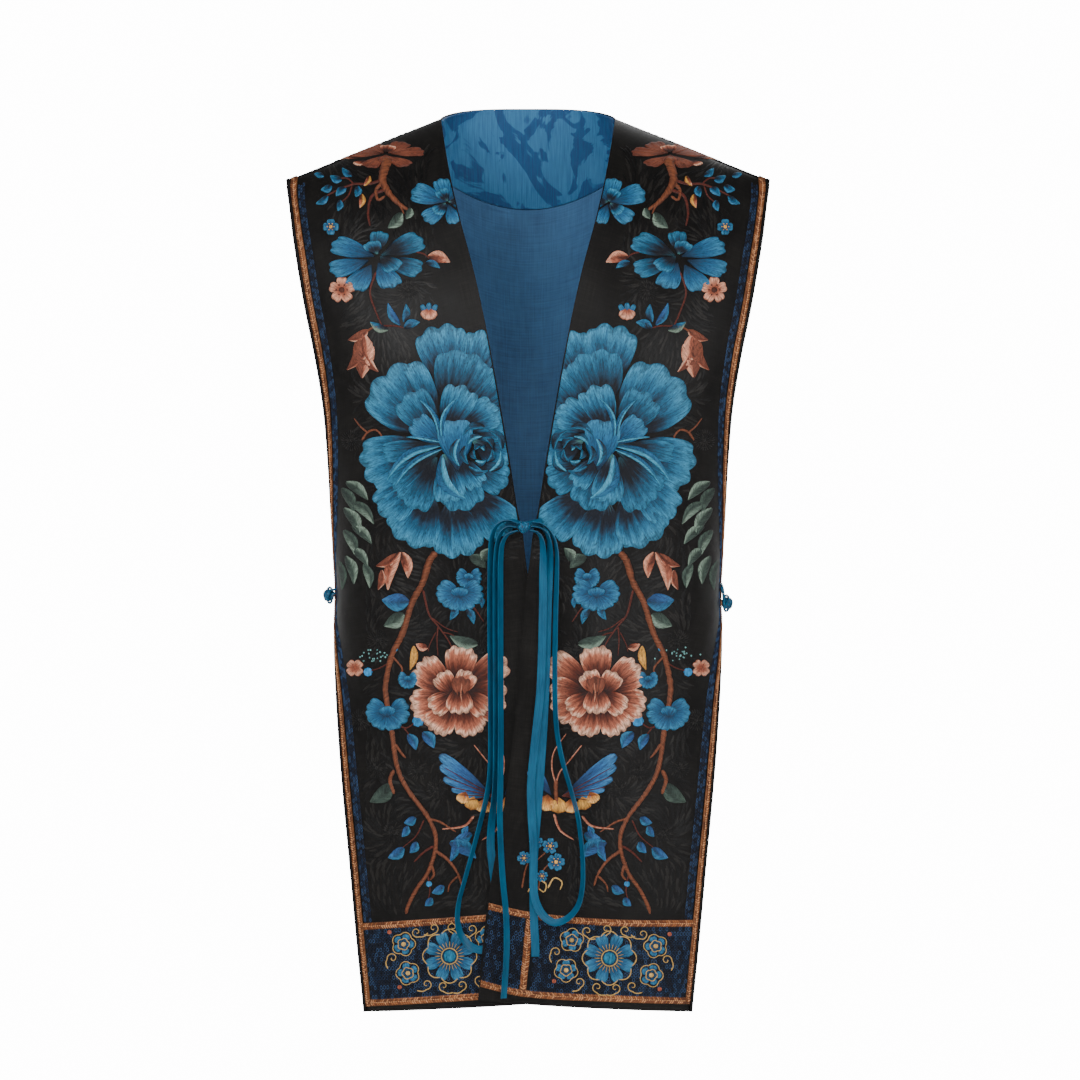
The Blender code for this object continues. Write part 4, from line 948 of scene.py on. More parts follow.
LOOP_LEFT_FRONT = rows_of(Strand, (
    (0.002, 0.3629, 0.0065, -85), (0.0066, 0.3638, 0.0064, -80), (0.0108, 0.3672, 0.0064, -70),
    (0.013, 0.375, 0.0066, -55), (0.0136, 0.388, 0.0072, -35), (0.0134, 0.405, 0.0074, -14),
    (0.0132, 0.424, 0.0073, 0), (0.0124, 0.465, 0.0073, 0), (0.0106, 0.505, 0.0073, 0),
    (0.0056, 0.552, 0.0073, 0), (0.0028, 0.584, 0.0073, 0), (0.0034, 0.61, 0.0073, 0),
    (0.005, 0.636, 0.0074, 0), (0.0049, 0.662, 0.008, 0), (0.0056, 0.679, 0.0086, 0),
    (0.0098, 0.691, 0.0087, 4), (0.0158, 0.6986, 0.0087, 14), (0.0236, 0.7026, 0.0089, 30),
    (0.0324, 0.7, 0.0093, 42), (0.0394, 0.6944, 0.0096, 50), (0.0446, 0.6856, 0.0096, 56),
    (0.0472, 0.674, 0.0093, 60), (0.048, 0.662, 0.009, 61), (0.0476, 0.644, 0.009, 62),
    (0.046, 0.628, 0.009, 62), (0.0436, 0.611, 0.009, 62), (0.0386, 0.591, 0.0092, 62),
    (0.0326, 0.571, 0.0092, 61), (0.0284, 0.554, 0.0094, 60), (0.0254, 0.536, 0.0098, 59),
    (0.0238, 0.512, 0.0098, 58), (0.0236, 0.477, 0.0096, 58), (0.024, 0.452, 0.0092, 58),
    (0.0246, 0.424, 0.009, 59), (0.0254, 0.4, 0.0086, 62), (0.0254, 0.384, 0.0078, 66),
    (0.0234, 0.3715, 0.0072, 71), (0.0186, 0.3624, 0.0068, 76), (0.0116, 0.3569, 0.0066, 81),
    (0.004, 0.3556, 0.0065, 85),
))
TAIL_LEFT_FRONT = rows_of(Strand, (
    (0.0032, 0.3596, 0.0065, -86), (0.0094, 0.3604, 0.0064, -83), (0.0148, 0.3632, 0.0062, -76),
    (0.0182, 0.3694, 0.0059, -66), (0.0194, 0.38, 0.0058, -50), (0.019, 0.393, 0.0058, -28),
    (0.0182, 0.408, 0.0059, -8), (0.0174, 0.424, 0.0059, 0), (0.0158, 0.48, 0.0059, 0),
    (0.0142, 0.52, 0.0059, 0), (0.0116, 0.562, 0.0059, 0), (0.009, 0.598, 0.0059, 0),
    (0.0064, 0.63, 0.0059, 0), (0.005, 0.656, 0.0062, 0), (0.0049, 0.68, 0.007, 0),
    (0.0054, 0.702, 0.007, 0), (0.0064, 0.722, 0.0066, 0), (0.0066, 0.732, 0.0065, 0),
))
ROOT_RIGHT_FRONT = rows_of(Strand, (
    (-0.019, 0.357, 0.0015, 0), (-0.013, 0.357, 0.0015, 0), (-0.01, 0.3576, 0.0016, 0),
    (-0.0066, 0.3585, 0.00175, 0),
))
ROOT_LEFT_FRONT = rows_of(Strand, (
    (0.0125, 0.356, 0.0016, 0), (0.0085, 0.3566, 0.0016, 0), (0.005, 0.3576, 0.00165, 0),
    (0.00015, 0.3584, 0.0017, 0),
))
RIBBON_WIDTH, RIBBON_WALL = 0.007, 0.0008
LOOPS = {"right": LOOP_RIGHT_FRONT, "left": LOOP_LEFT_FRONT}
TAILS = {"right": TAIL_RIGHT_FRONT, "left": TAIL_LEFT_FRONT}
print("ribbon routes have", sum(map(len, (*LOOPS.values(), *TAILS.values()))), "rows")

# %% Sweeping a ribbon


def spline(padded, parts):
    """A smooth curve through all rows but the first and last, with each gap in so many parts."""
    fine = []
    for a, b, c, d in zip(padded, padded[1:], padded[2:], padded[3:]):
        for t in np.linspace(0, 1, parts, endpoint=False):
            bend = (2 * a - 5 * b + 4 * c - d) * t**2 + (3 * b - a - 3 * c + d) * t**3
            fine.append(0.5 * (2 * b + (c - a) * t + bend))
    return np.array(fine + [padded[-2]])


def run_along(line):
    """How far along a line of points each one lies."""
    return np.concatenate([[0], np.cumsum(np.linalg.norm(np.diff(line, axis=0), axis=1))])


def even_steps(fine, run, count):
    marks = np.linspace(0, run[-1], count)
    return np.stack([np.interp(marks, run, column) for column in fine.T], axis=1)


def smooth_route(route, step):
    """Points at even steps along a smooth curve through a route's own rows."""
    rows = np.array(route, float)
    fine = spline(np.vstack([rows[:1], rows, rows[-1:]]), 12)
    run = run_along(fine[:, :3])
    return even_steps(fine, run, max(2, round(run[-1] / step)) + 1)


def body_front(beside, drop):
    """How far the front of the body lies before its middle, in millimetres."""
    wrap = along(SECTIONS, "front_wrap", drop)
    half = section_point(0.0, drop, "front_depth", along(SECTIONS, "half_width", drop), wrap)[2]
    round_off = (1.0 - abs(beside / half) ** ROUNDNESS) ** (1 / ROUNDNESS)
    return along(SECTIONS, "front_depth", drop) * shoulder_ramp(drop) * round_off


def ribbon(name, route, finish, node, step=0.003):
    """A flat ribbon with a slightly dished face. Gives the piece and its middle line."""
    rows = smooth_route(route, step)
    centres = np.array([(x, -body_front(x / MM, z / MM) * MM - stand, -z) for x, z, stand, _ in rows])
    reaches = np.linspace(-RIBBON_WIDTH / 2, RIBBON_WIDTH / 2, 7)
    dish = (reaches / RIBBON_WIDTH * 2) ** 2 * 0.0003
    skin, under = [], []
    for k, centre in enumerate(centres):
        way = Vector(centres[min(k + 1, len(centres) - 1)] - centres[max(0, k - 1)]).normalized()
        across = way.cross(Vector((0.0, -1.0, 0.0))).normalized()
        face = across.cross(way).normalized()
        turn = math.radians(rows[k][3])
        wide = across * math.cos(turn) + face * math.sin(turn)
        thick = np.array(way.cross(wide).normalized())
        edges = [centre + np.array(wide) * reach - thick * d for reach, d in zip(reaches, dish)]
        skin.append([edge + thick * RIBBON_WALL / 2 for edge in edges])
        under.append([edge - thick * RIBBON_WALL / 2 for edge in edges])
    made = wall(name, np.array(skin), np.array(under), [finish], "cord", node)
    return made, [tuple(float(c) for c in centre) for centre in centres]


def ribbon_silk():
    """Teal ribbon: a tight satin weave with lengthwise threads and firm edges."""
    values = {"Roughness": 0.42, "Sheen Weight": 0.08, "Sheen Roughness": 0.3, "Specular IOR Level": 0.3}
    made, tree, shader = material("teal_satin_ribbon", values)
    cloth = add(tree, "ShaderNodeTexCoord").outputs["UV"]
    threads = grain(tree, stretched(tree, cloth, (1.0, 0.03, 1.0)), 1400.0)
    slow = grain(tree, cloth, 30.0, 3.0)
    half = average(tree, threads, slow)
    colour = stops(tree, half, (0.3, "#083e5a"), (0.5, "#0b5475"), (0.7, "#106688"))
    tree.links.new(colour, shader.inputs["Base Color"])
    bumped(tree, shader, threads, 0.35, 0.2)
    return made


teal_ribbon = ribbon_silk()


def route_length(path):
    return sum(math.dist(a, b) for a, b in zip(path, path[1:]))


for side, loop in LOOPS.items():
    made, path = ribbon(f"ribbon_loop_{side}", loop, teal_ribbon, f"tie_loop_{side}")
    length = route_length(path)
    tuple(path[0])
    made, path = ribbon(f"ribbon_tail_{side}", TAILS[side], teal_ribbon, f"tie_tail_{side}")
    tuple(path[0])
    route_length(path)
    print(f"{side} loop {length * 1000:.0f} mm, tail {route_length(path) * 1000:.0f} mm")
ribbon("ribbon_root_right", ROOT_RIGHT_FRONT, teal_ribbon, "tie_root_right", 0.002)
ribbon("ribbon_root_left", ROOT_LEFT_FRONT, teal_ribbon, "tie_root_left", 0.002)

# %% [markdown]
# ## Raised stitches
# Chinese embroidery of this kind is flat silk floss laid side by side: satin stitch for leaves,
# long-and-short stitch for shaded petals, couched cord for stems and outlines. Drawing it as a
# picture would look printed, so each petal, leaf and stem is a small low relief on the cloth. A
# bmesh grid gives the faces of one patch, and arrays repeat it for every stitch, so that thousands
# become one mesh. Each point carries its thread's colour, and the UV map runs along the thread.

# %% Patches of thread on a panel
GRIDS = {}


def grid_faces(rows, columns):
    """The corners of each face of a bmesh grid with this many rows and columns of points."""
    if (rows, columns) not in GRIDS:
        shape = bmesh.new()
        bmesh.ops.create_grid(shape, x_segments=columns - 1, y_segments=rows - 1, size=1.0)
        GRIDS[rows, columns] = np.array([[vert.index for vert in face.verts] for face in shape.faces])
        shape.free()
    return GRIDS[rows, columns]


class Stitches:
    """Raised patches of one kind of thread on one panel. They end up as one mesh."""

    def __init__(self, panel, side):
        self.panel, self.side = panel, side
        self.points, self.colours, self.uvs, self.faces = [], [], [], []
        self.count = 0
        self.taken = np.zeros((400, 120), dtype=bool)

    def cells(self, across, y):
        """Where a place falls in the map of what is already embroidered, in steps of 3 pixels."""
        rows = np.clip(np.asarray(y) / 3, 0, 399).astype(int)
        return rows, np.clip((np.asarray(across) + 120) / 3, 0, 119).astype(int)

    def on_cloth(self, across, y):
        """Places of the cloth seen at pixels beside the middle and down the photograph."""
        picture_x = across * self.side * PIXEL_MM
        picture_z = (y - NECK_PIXEL) * PIXEL_MM
        if self.panel is back:
            return self.panel.locate(picture_x, picture_z)
        depth = np.full(np.shape(picture_x), -95.0)
        for _ in range(3):
            nearer = 1.0 + depth / CAMERA_AWAY_MM
            x = VIEW_MIDDLE[0] + (picture_x - VIEW_MIDDLE[0]) * nearer
            z = VIEW_MIDDLE[1] + (picture_z - VIEW_MIDDLE[1]) * nearer
            u, v = self.panel.locate(x * self.side, z)
            depth = self.panel.at(u, v, 0.0)[..., 1] / MM
        edge = 1.2 / self.panel.nominal_width
        return np.clip(u, edge, 1.0 - edge), v

    def patches(self, u, v, height, colour, uv):
        """Adds patches whose arrays are (patch, row, column). Height is in millimetres."""
        points = self.panel.at(u, v, height)
        number, rows, columns = points.shape[:3]
        faces = grid_faces(rows, columns)
        first = points[0].reshape(-1, 3)
        corners = first[faces]
        turn = np.cross(corners[:, 1] - corners[:, 0], corners[:, 2] - corners[:, 0]).sum(axis=0)
        out = self.panel.at(u[:1], v[:1], 5.0) - self.panel.at(u[:1], v[:1], 0.0)
        out = out.reshape(-1, 3).sum(axis=0)
        if turn @ out < 0:
            faces = faces[:, ::-1]
        starts = self.count + np.arange(number) * rows * columns
        self.faces.append((faces[None] + starts[:, None, None]).reshape(-1, 4))
        self.points.append(points.reshape(-1, 3))
        self.colours.append(np.broadcast_to(colour, (*points.shape[:3], 3)).reshape(-1, 3))
        self.uvs.append(np.broadcast_to(uv, (*points.shape[:3], 2)).reshape(-1, 2))
        self.count += number * rows * columns

    def piece(self, name, finish, slot):
        """One mesh of all the patches, without the faces that the cloth's edge cut to nothing."""
        points, faces = np.concatenate(self.points), np.concatenate(self.faces)
        corners = points[faces]
        across = np.cross(corners[:, 2] - corners[:, 0], corners[:, 3] - corners[:, 1])
        faces = faces[np.linalg.norm(across, axis=1) > 2e-9]
        mesh = bpy.data.meshes.new(name)
        mesh.from_pydata(points.tolist(), [], faces.tolist())
        colour = mesh.color_attributes.new("Thread", "FLOAT_COLOR", "POINT")
        rgba = np.concatenate([np.concatenate(self.colours), np.ones((len(points), 1))], axis=1)
        colour.data.foreach_set("color", rgba.astype(np.float32).ravel())
        loops = np.zeros(len(mesh.loops), dtype=np.int32)
        mesh.loops.foreach_get("vertex_index", loops)
        mesh.uv_layers.new(name="UVMap").data.foreach_set("uv", np.concatenate(self.uvs)[loops].ravel())
        made = piece_of(name, mesh, [finish], slot)
        print(f"{name}: {len(faces) * 2} triangles")
        return made


def threads(code):
    return np.array(linear(code)[:3])


def drawn(codes, number):
    """A colour drawn by chance for each of so many patches."""
    return np.array([threads(code) for code in codes])[CHANCE.integers(0, len(codes), number)][:, None, None]


def palette(text):
    """A row of colours along a thread, written as 'place:hex place:hex'."""
    pairs = [pair.split(":") for pair in text.split()]
    return np.array([float(place) for place, _ in pairs]), np.array([threads(code) for _, code in pairs])


def shade(colours, at):
    places, values = colours
    return np.stack([np.interp(at, places, values[:, k]) for k in range(3)], axis=-1)


BLUE = palette(
    "0:#457c78 0.12:#22384a 0.24:#0b101c 0.47:#0d1522 0.56:#123a54 0.72:#1d5c7e 0.93:#3a83a6 1:#081c28"
)
BLUE_DEEP = palette("0:#1c4450 0.16:#0a0e18 0.44:#0a0f1a 0.54:#0f3248 0.74:#184e6c 0.94:#2c7396 1:#061a24")
BLUE_CREST = palette("0:#1a5a72 0.3:#2a7898 0.8:#4a9cbc 1:#103a4c")
BLUE_SOFT = palette("0:#0b2136 0.25:#123a58 0.6:#1c557c 0.92:#317499 1:#0d2f42")
VIOLET = palette("0:#101a34 0.3:#18355c 0.65:#245386 0.94:#3a76a6 1:#133250")
CORAL = palette("0:#200c08 0.3:#2a0f0a 0.52:#5a2618 0.8:#b4684e 0.9:#eebda0 1:#542a1e")
CORAL_PALE = palette("0:#62291a 0.4:#a85f46 0.85:#dc9c80 1:#7c4632")
RUST = palette("0:#4a2318 0.5:#7c4330 1:#5a2c20")
BARK = palette("0:#4a2416 0.5:#80482e 1:#5c3220")
TWIG = palette("0:#3a1612 0.5:#5c261c 1:#441c15")
GREEN = palette("0:#2c3832 0.4:#43544a 0.85:#7d9080 1:#35433a")
GREEN_DARK = palette("0:#18201c 0.5:#28352f 0.9:#43544a 1:#1e2824")
EMBER = palette("0:#54260f 0.35:#9c5626 0.8:#e2a257 0.93:#f0c07a 1:#8a4a20")
YELLOW = palette("0:#a5662a 0.5:#dca24c 1:#8f5a28")
GOLD_LINE = palette("0:#c9a15f 1:#c9a15f")
print("a patch of 3 by 7 points has", len(grid_faces(7, 3)), "faces")

# %% [markdown]
# ## Petals, leaves and stems
# Three shapes make nearly all the flowers. A fan is a petal that spreads from its base to a
# scalloped rim, a leaf has two halves and a rib, and a stem is a rounded cord along a curve. Their
# rims sink to the cloth, as the needle pulls the last thread of each stitch down.

# %% The three shapes, in pixels of the photograph


def crowded(count, power=0.75):
    """Places from -1 to 1, closer together at the ends."""
    even = np.linspace(-1, 1, count)
    return np.sign(even) * (1 - (1 - np.abs(even)) ** (1 / power))


def fan(work, across, y, angle, spread, reach, colours, lobes=3, lift=0.0, squash=1.0, puff=0.9,
        scallop=0.07, size=(19, 15)):
    """A petal from a base point. squash flattens it, where the cloth leans away on the shoulder."""
    columns, rows = size
    s, t = np.meshgrid(crowded(columns, 0.8), 1 - (1 - np.linspace(0, 1, rows)) ** 1.5)
    rim = 1.0 - 0.30 * np.abs(s) ** 4 + scallop * (np.abs(np.sin(lobes * np.pi / 2 * (s + 1))) - 0.5)
    bulge = 0.84 + 0.16 * np.sin(np.pi * np.clip(t, 0, 1) ** 0.7)
    turn = np.radians(angle + s * spread / 2 * bulge)
    distance = reach * (0.04 + 0.96 * t) * (1 + (rim - 1) * t)
    x, down = across + distance * np.cos(turn), y - distance * np.sin(turn) * squash
    u, v = work.on_cloth(x, down)
    work.taken[work.cells(x, down)] = True
    edge = np.clip((1 - np.abs(s)) / 0.16, 0, 1) ** 0.5 * np.clip((1 - t) / 0.10, 0, 1) ** 0.5
    curl = 0.45 + 0.55 * t**1.5 + 0.18 * np.cos(lobes * np.pi * s) * t
    height = (lift + puff * curl) * edge + 0.02
    streak = CHANCE.normal(0, 1, columns)
    seen = np.clip(t + 0.045 * streak + CHANCE.normal(0, 0.02, t.shape), 0, 0.97) * np.where(t < 0.999, 1, 0)
    seen = np.where(t >= 0.999, 1.0, seen)
    colour = shade(colours, seen) * (1 + 0.10 * np.sin(streak * 3))[None, :, None]
    colour = colour * (0.55 + 0.45 * np.clip((1 - np.abs(s)) / 0.10, 0, 1))[..., None]
    uv = np.stack([s * reach * math.radians(spread) / 2 * PIXEL_MM * MM, t * reach * PIXEL_MM * MM], axis=-1)
    uv = uv + CHANCE.uniform(0, 1, 2)
    work.patches(u[None], v[None], height[None], colour[None], uv[None])


def leaf(work, base, tip, width, light, dark, bend=0.0, lift=0.0, puff=0.8, size=(9, 12)):
    """A leaf or a slim petal from base to tip, with a rib between a light half and a dark one."""
    columns, rows = size
    s, t = np.meshgrid(crowded(columns, 0.8), np.linspace(0, 1, rows))
    start, run = np.array(base, float), np.array(tip, float) - np.array(base, float)
    aside = np.array([-run[1], run[0]])
    half = width / 2 * np.sin(np.pi * np.clip(t, 0.02, 0.985) ** 0.8) ** 0.8
    off = s * half / np.hypot(*run) + bend * np.sin(np.pi * t)
    x, down = start[0] + run[0] * t + aside[0] * off, start[1] + run[1] * t + aside[1] * off
    u, v = work.on_cloth(x, down)
    work.taken[work.cells(x, down)] = True
    edge = np.clip((1 - np.abs(s)) / 0.25, 0, 1) ** 0.5 * np.clip(np.minimum(t, 1 - t) / 0.06, 0, 1) ** 0.5
    groove = 1 - 0.35 * np.exp(-((s / 0.16) ** 2))
    height = (lift + puff * groove) * edge + 0.02
    wander = CHANCE.normal(0, 0.05, t.shape)
    bright, dim = shade(light, 0.35 + 0.6 * np.abs(s) + wander), shade(dark, 0.3 + 0.6 * t + wander)
    colour = np.where((s > 0)[..., None], bright, dim)
    rib = np.exp(-((s / 0.2) ** 2))[..., None] * (1.1 - t)[..., None] * 0.85
    colour = colour * (1 - rib) + shade(light, 1.0 + 0 * s) * rib
    slant = np.abs(s) * width * PIXEL_MM * MM
    uv = np.stack([t * np.hypot(*run) * PIXEL_MM * MM + slant * 0.6, slant], axis=-1)
    uv = uv + CHANCE.uniform(0, 1, 2)
    work.patches(u[None], v[None], height[None], colour[None], uv[None])


def curve_through(points, count):
    """A smooth curve through rows of numbers, at even steps."""
    rows = np.array(points, float)
    if len(rows) == 2:
        return rows[0] + (rows[1] - rows[0]) * np.linspace(0, 1, count)[:, None]
    fine = spline(np.vstack([2 * rows[0] - rows[1], rows, 2 * rows[-1] - rows[-2]]), 10)
    return even_steps(fine, run_along(fine[:, :2]), count)


def stem(work, points, widths, colours, lift=0.0, height=None, rough=0.0, step=2.2):
    """A rounded cord through points. widths are its first and last width in pixels."""
    route = np.array(points, float)
    length = np.linalg.norm(np.diff(route, axis=0), axis=1).sum()
    count = max(3, round(length / step) + 1)
    line = curve_through(points, count)
    way = np.gradient(line, axis=0)
    way = way / np.maximum(np.linalg.norm(way, axis=1, keepdims=True), 1e-9)
    t = np.linspace(0, 1, count)
    half = mixed(widths[0], widths[-1], t) / 2
    if rough:
        half = half * (1 + rough * CHANCE.normal(0, 1, count))
    half[0], half[-1] = half[0] * 0.5, half[-1] * 0.4
    s = np.array([-1.0, -0.72, 0.0, 0.72, 1.0])
    x = line[:, :1] - way[:, 1:] * half[:, None] * s
    down = line[:, 1:2] + way[:, :1] * half[:, None] * s
    u, v = work.on_cloth(x, down)
    work.taken[work.cells(x, down)] = True
    tall = (height if height is not None else 0.30 * half[:, None] * 2 * PIXEL_MM) + 0.0 * x
    bump_up = (lift + tall * np.sqrt(np.clip(1 - s**2, 0, 1))) * np.where(np.abs(s) > 0.99, 0.0, 1.0) + 0.02
    colour = shade(colours, np.clip(0.5 + 0.5 * s[None] + CHANCE.normal(0, 0.12, x.shape), 0, 1))
    uv = np.stack([t[:, None] * length + s * half[:, None] * 0.7, s * half[:, None] * 0.2 + 0 * x], axis=-1)
    work.patches(u[None], v[None], bump_up[None], colour[None], (uv * PIXEL_MM * MM)[None])


def rings(reaches, first, last, count):
    """Rings of points round a spot: how far out each one lies, and its angle in radians."""
    return np.meshgrid(np.array(reaches), np.radians(np.linspace(first, last, count)), indexing="ij")


def domes(work, across, y, radius, code, height=0.6, lift=0.0, spread=0.12):
    """Round knots, for whole arrays of places at once."""
    across, y, radius = (part[:, None, None] for part in np.broadcast_arrays(
        *(np.atleast_1d(np.asarray(part, float)) for part in (across, y, radius))))
    ring, spoke = rings((1.0, 0.8, 0.45, 0.02), 0, 360, 9)
    x, down = across + radius * ring * np.cos(spoke), y + radius * ring * np.sin(spoke)
    u, v = work.on_cloth(x, down)
    tall = np.where(ring > 0.99, 0.02, lift + height * np.sqrt(1 - ring**2 * 0.9))
    colour = threads(code) * (1 + CHANCE.normal(0, spread, (len(across), 1, 1, 1)))
    work.patches(u, v, tall, colour, np.stack([x, down], axis=-1) * PIXEL_MM * MM)


def strokes(work, across, y, angle, length, width, bend, codes, height=0.45, lift=0.0, rows=6):
    """Many single stitches at once. Angles are in degrees, and codes are the colours to draw from."""
    parts = (np.asarray(part, float) for part in (across, y, angle, length, width, bend))
    parts = np.broadcast_arrays(*parts)
    across, y, angle, length, width, bend = (part[:, None, None] for part in parts)
    s, t = np.meshgrid(np.array([-1.0, 0.0, 1.0]), np.linspace(0, 1, rows))
    turn = np.radians(angle) + np.radians(bend) * (t - 0.5)
    half = width / 2 * np.sin(np.pi * np.clip(t, 0.06, 0.94)) ** 0.6
    x = across + np.cos(np.radians(angle)) * length * (t - 0.5) - np.sin(turn) * (s * half)
    down = y - np.sin(np.radians(angle)) * length * (t - 0.5) - np.cos(turn) * (s * half)
    sag = np.radians(bend) * length * 0.5 * ((t - 0.5) ** 2 - 0.25)
    x, down = x - np.sin(np.radians(angle)) * sag, down - np.cos(np.radians(angle)) * sag
    u, v = work.on_cloth(x, down)
    tall = (lift + height * np.sin(np.pi * np.clip(t, 0.0, 1.0)) ** 0.4) * (1 - np.abs(s)) + 0.02
    uv = np.stack([s * half + 0 * t, t * length + 0 * s], axis=-1) * PIXEL_MM * MM
    work.patches(u, v, tall, drawn(codes, len(x)), uv)


def floss(name, gloss, contrast, thread_mm=1.0):
    """Flat silk floss: its colour comes with each stitch, and fine strands run along it."""
    made, tree, shader = material(name, gloss)
    own = add(tree, "ShaderNodeAttribute", attribute_name="Thread").outputs["Color"]
    place = add(tree, "ShaderNodeTexCoord").outputs["UV"]
    broad = grain(tree, stretched(tree, place, (1.0, 0.12, 1.0)), 1 / (thread_mm * MM), 2.0, 0.6)
    fine = grain(tree, stretched(tree, place, (1.0, 0.3, 1.0)), 1.7 / (thread_mm * MM), 3.0, 0.7)
    strands = average(tree, broad, fine)
    values = {"From Min": 0.36, "From Max": 0.64, "To Min": 1 - contrast, "To Max": 1 + contrast}
    spread = add(tree, "ShaderNodeMapRange", values, {"Value": strands}).outputs["Result"]
    tinted = add(tree, "ShaderNodeVectorMath", links={"Vector": own, "Scale": spread}, operation="SCALE")
    tree.links.new(tinted.outputs["Vector"], shader.inputs["Base Color"])
    bumped(tree, shader, strands, 0.9, 0.5)
    return made


FLOSS_GLOSS = {"Roughness": 0.48, "Sheen Weight": 0.02, "Sheen Roughness": 0.3, "Specular IOR Level": 0.26}
BLACK_FLOSS_GLOSS = {"Roughness": 0.32, "Sheen Weight": 0.0, "Specular IOR Level": 0.24}
METAL_GLOSS = {"Metallic": 0.45, "Roughness": 0.42, "Specular IOR Level": 0.3}
silk_floss = floss("shaded_silk_floss", FLOSS_GLOSS, 0.7, 1.5)
black_floss = floss("black_silk_floss", BLACK_FLOSS_GLOSS, 0.3)
gilt_thread = floss("gilt_wrapped_thread", METAL_GLOSS, 0.35)
print("threads:", silk_floss.name, black_floss.name, gilt_thread.name)

# %% [markdown]
# ## The flowers of one front
# Both fronts carry the same design, mirrored. It grows as such designs do: a branch climbs from the
# hem past blossoms, buds and a butterfly to the great peony at the chest, and another hangs from
# the shoulder. The tables give places in pixels of the photograph, counted outward from the middle
# and down. Angles count from outward, and 90 is up.

# %% Tables of petals, leaves and stems
Petal = namedtuple("Petal", "beside down angle spread reach lobes layer ramp")
PEONY = rows_of(Petal, (
    (76, 392, 80, 75, 67, 4, 0, BLUE), (60, 392, 112, 70, 62, 4, 0, BLUE),
    (94, 436, 52, 90, 80, 4, 0, BLUE), (94, 446, -18, 70, 74, 4, 0, BLUE),
    (97, 470, -42, 60, 66, 3, 0, BLUE), (94, 490, -62, 90, 60, 4, 0, BLUE),
    (78, 495, -100, 80, 62, 4, 0, BLUE), (62, 490, -135, 70, 60, 3, 0, BLUE),
    (57, 440, 190, 100, 45, 3, 0, BLUE), (62, 420, 135, 70, 60, 3, 0, BLUE),
    (78, 415, 105, 85, 66, 4, 1, BLUE_DEEP), (90, 438, 55, 70, 54, 3, 1, BLUE_DEEP),
    (87, 444, -8, 34, 60, 2, 1, BLUE_DEEP), (87, 450, -34, 36, 62, 2, 1, BLUE_DEEP),
    (90, 455, -62, 60, 60, 3, 1, BLUE_DEEP), (76, 462, -110, 80, 50, 3, 1, BLUE_DEEP),
    (62, 462, -150, 70, 46, 3, 1, BLUE_DEEP), (66, 432, 165, 80, 44, 3, 1, BLUE_DEEP),
    (84, 440, 112, 60, 58, 3, 2, BLUE), (72, 432, 150, 70, 48, 3, 2, BLUE),
    (84, 446, 40, 60, 40, 3, 2, BLUE_SOFT), (84, 452, -98, 60, 52, 4, 2, BLUE),
    (74, 452, -128, 50, 44, 3, 2, BLUE), (70, 472, 84, 66, 54, 2, 3, BLUE_SOFT),
))
CORAL_PEONY = rows_of(Petal, (
    (66, 688, 146, 56, 52, 3, 0, CORAL), (72, 688, 98, 74, 42, 5, 0, CORAL),
    (76, 692, 38, 76, 44, 5, 0, CORAL), (76, 697, -14, 76, 42, 5, 0, CORAL),
    (74, 700, -58, 84, 38, 6, 0, CORAL), (66, 700, -110, 84, 37, 5, 0, CORAL),
    (62, 698, -160, 76, 40, 4, 0, CORAL), (64, 692, 176, 60, 42, 3, 0, CORAL),
    (72, 698, 118, 70, 30, 3, 1, CORAL), (72, 698, 58, 70, 30, 3, 1, CORAL),
    (70, 690, -38, 66, 34, 4, 1, CORAL), (66, 690, -140, 66, 34, 4, 1, CORAL),
    (68, 682, -90, 84, 32, 5, 2, CORAL), (68, 700, 92, 80, 24, 3, 2, RUST),
))
TIERED = rows_of(Petal, (
    (152, 257, 22, 54, 47, 3, 0, BLUE_SOFT), (148, 256, 150, 56, 48, 3, 0, BLUE_DEEP),
    (152, 253, 98, 60, 30, 3, 0, BLUE_DEEP), (146, 259, 204, 58, 42, 3, 0, BLUE_DEEP),
    (150, 262, -112, 62, 38, 3, 0, BLUE_SOFT), (156, 264, -62, 58, 40, 3, 0, BLUE_SOFT),
    (158, 260, -20, 56, 42, 3, 1, BLUE_SOFT), (148, 256, 226, 84, 26, 3, 1, BLUE_DEEP),
    (150, 255, 66, 92, 20, 3, 2, BLUE),
))
EDGE_BLOSSOM = rows_of(Petal, (
    (80, 202, 20, 60, 38, 3, 0, BLUE_SOFT), (80, 202, 75, 60, 28, 3, 0, BLUE_SOFT),
    (80, 202, 130, 60, 26, 3, 0, BLUE_SOFT), (80, 202, 190, 60, 26, 3, 0, BLUE_SOFT),
    (80, 204, 250, 60, 24, 3, 0, BLUE_SOFT), (80, 204, -40, 60, 30, 3, 0, BLUE_SOFT),
    (80, 202, 60, 80, 17, 3, 1, BLUE), (80, 202, 180, 80, 15, 3, 1, BLUE),
    (82, 203, -50, 80, 17, 3, 1, BLUE),
))
RUST_PEONY = rows_of(Petal, (
    (146, 154, 10, 60, 38, 3, 0, RUST), (144, 154, 60, 60, 32, 3, 0, RUST),
    (140, 154, 120, 60, 32, 3, 0, RUST), (138, 154, 170, 60, 34, 3, 0, RUST),
    (140, 156, 230, 60, 30, 3, 0, RUST), (146, 156, -60, 60, 30, 3, 0, RUST),
    (142, 153, 100, 90, 18, 3, 1, CORAL), (142, 155, -90, 90, 18, 3, 1, RUST),
    (166, 158, 20, 60, 22, 3, 0, CORAL), (162, 160, -50, 60, 16, 3, 0, CORAL),
))
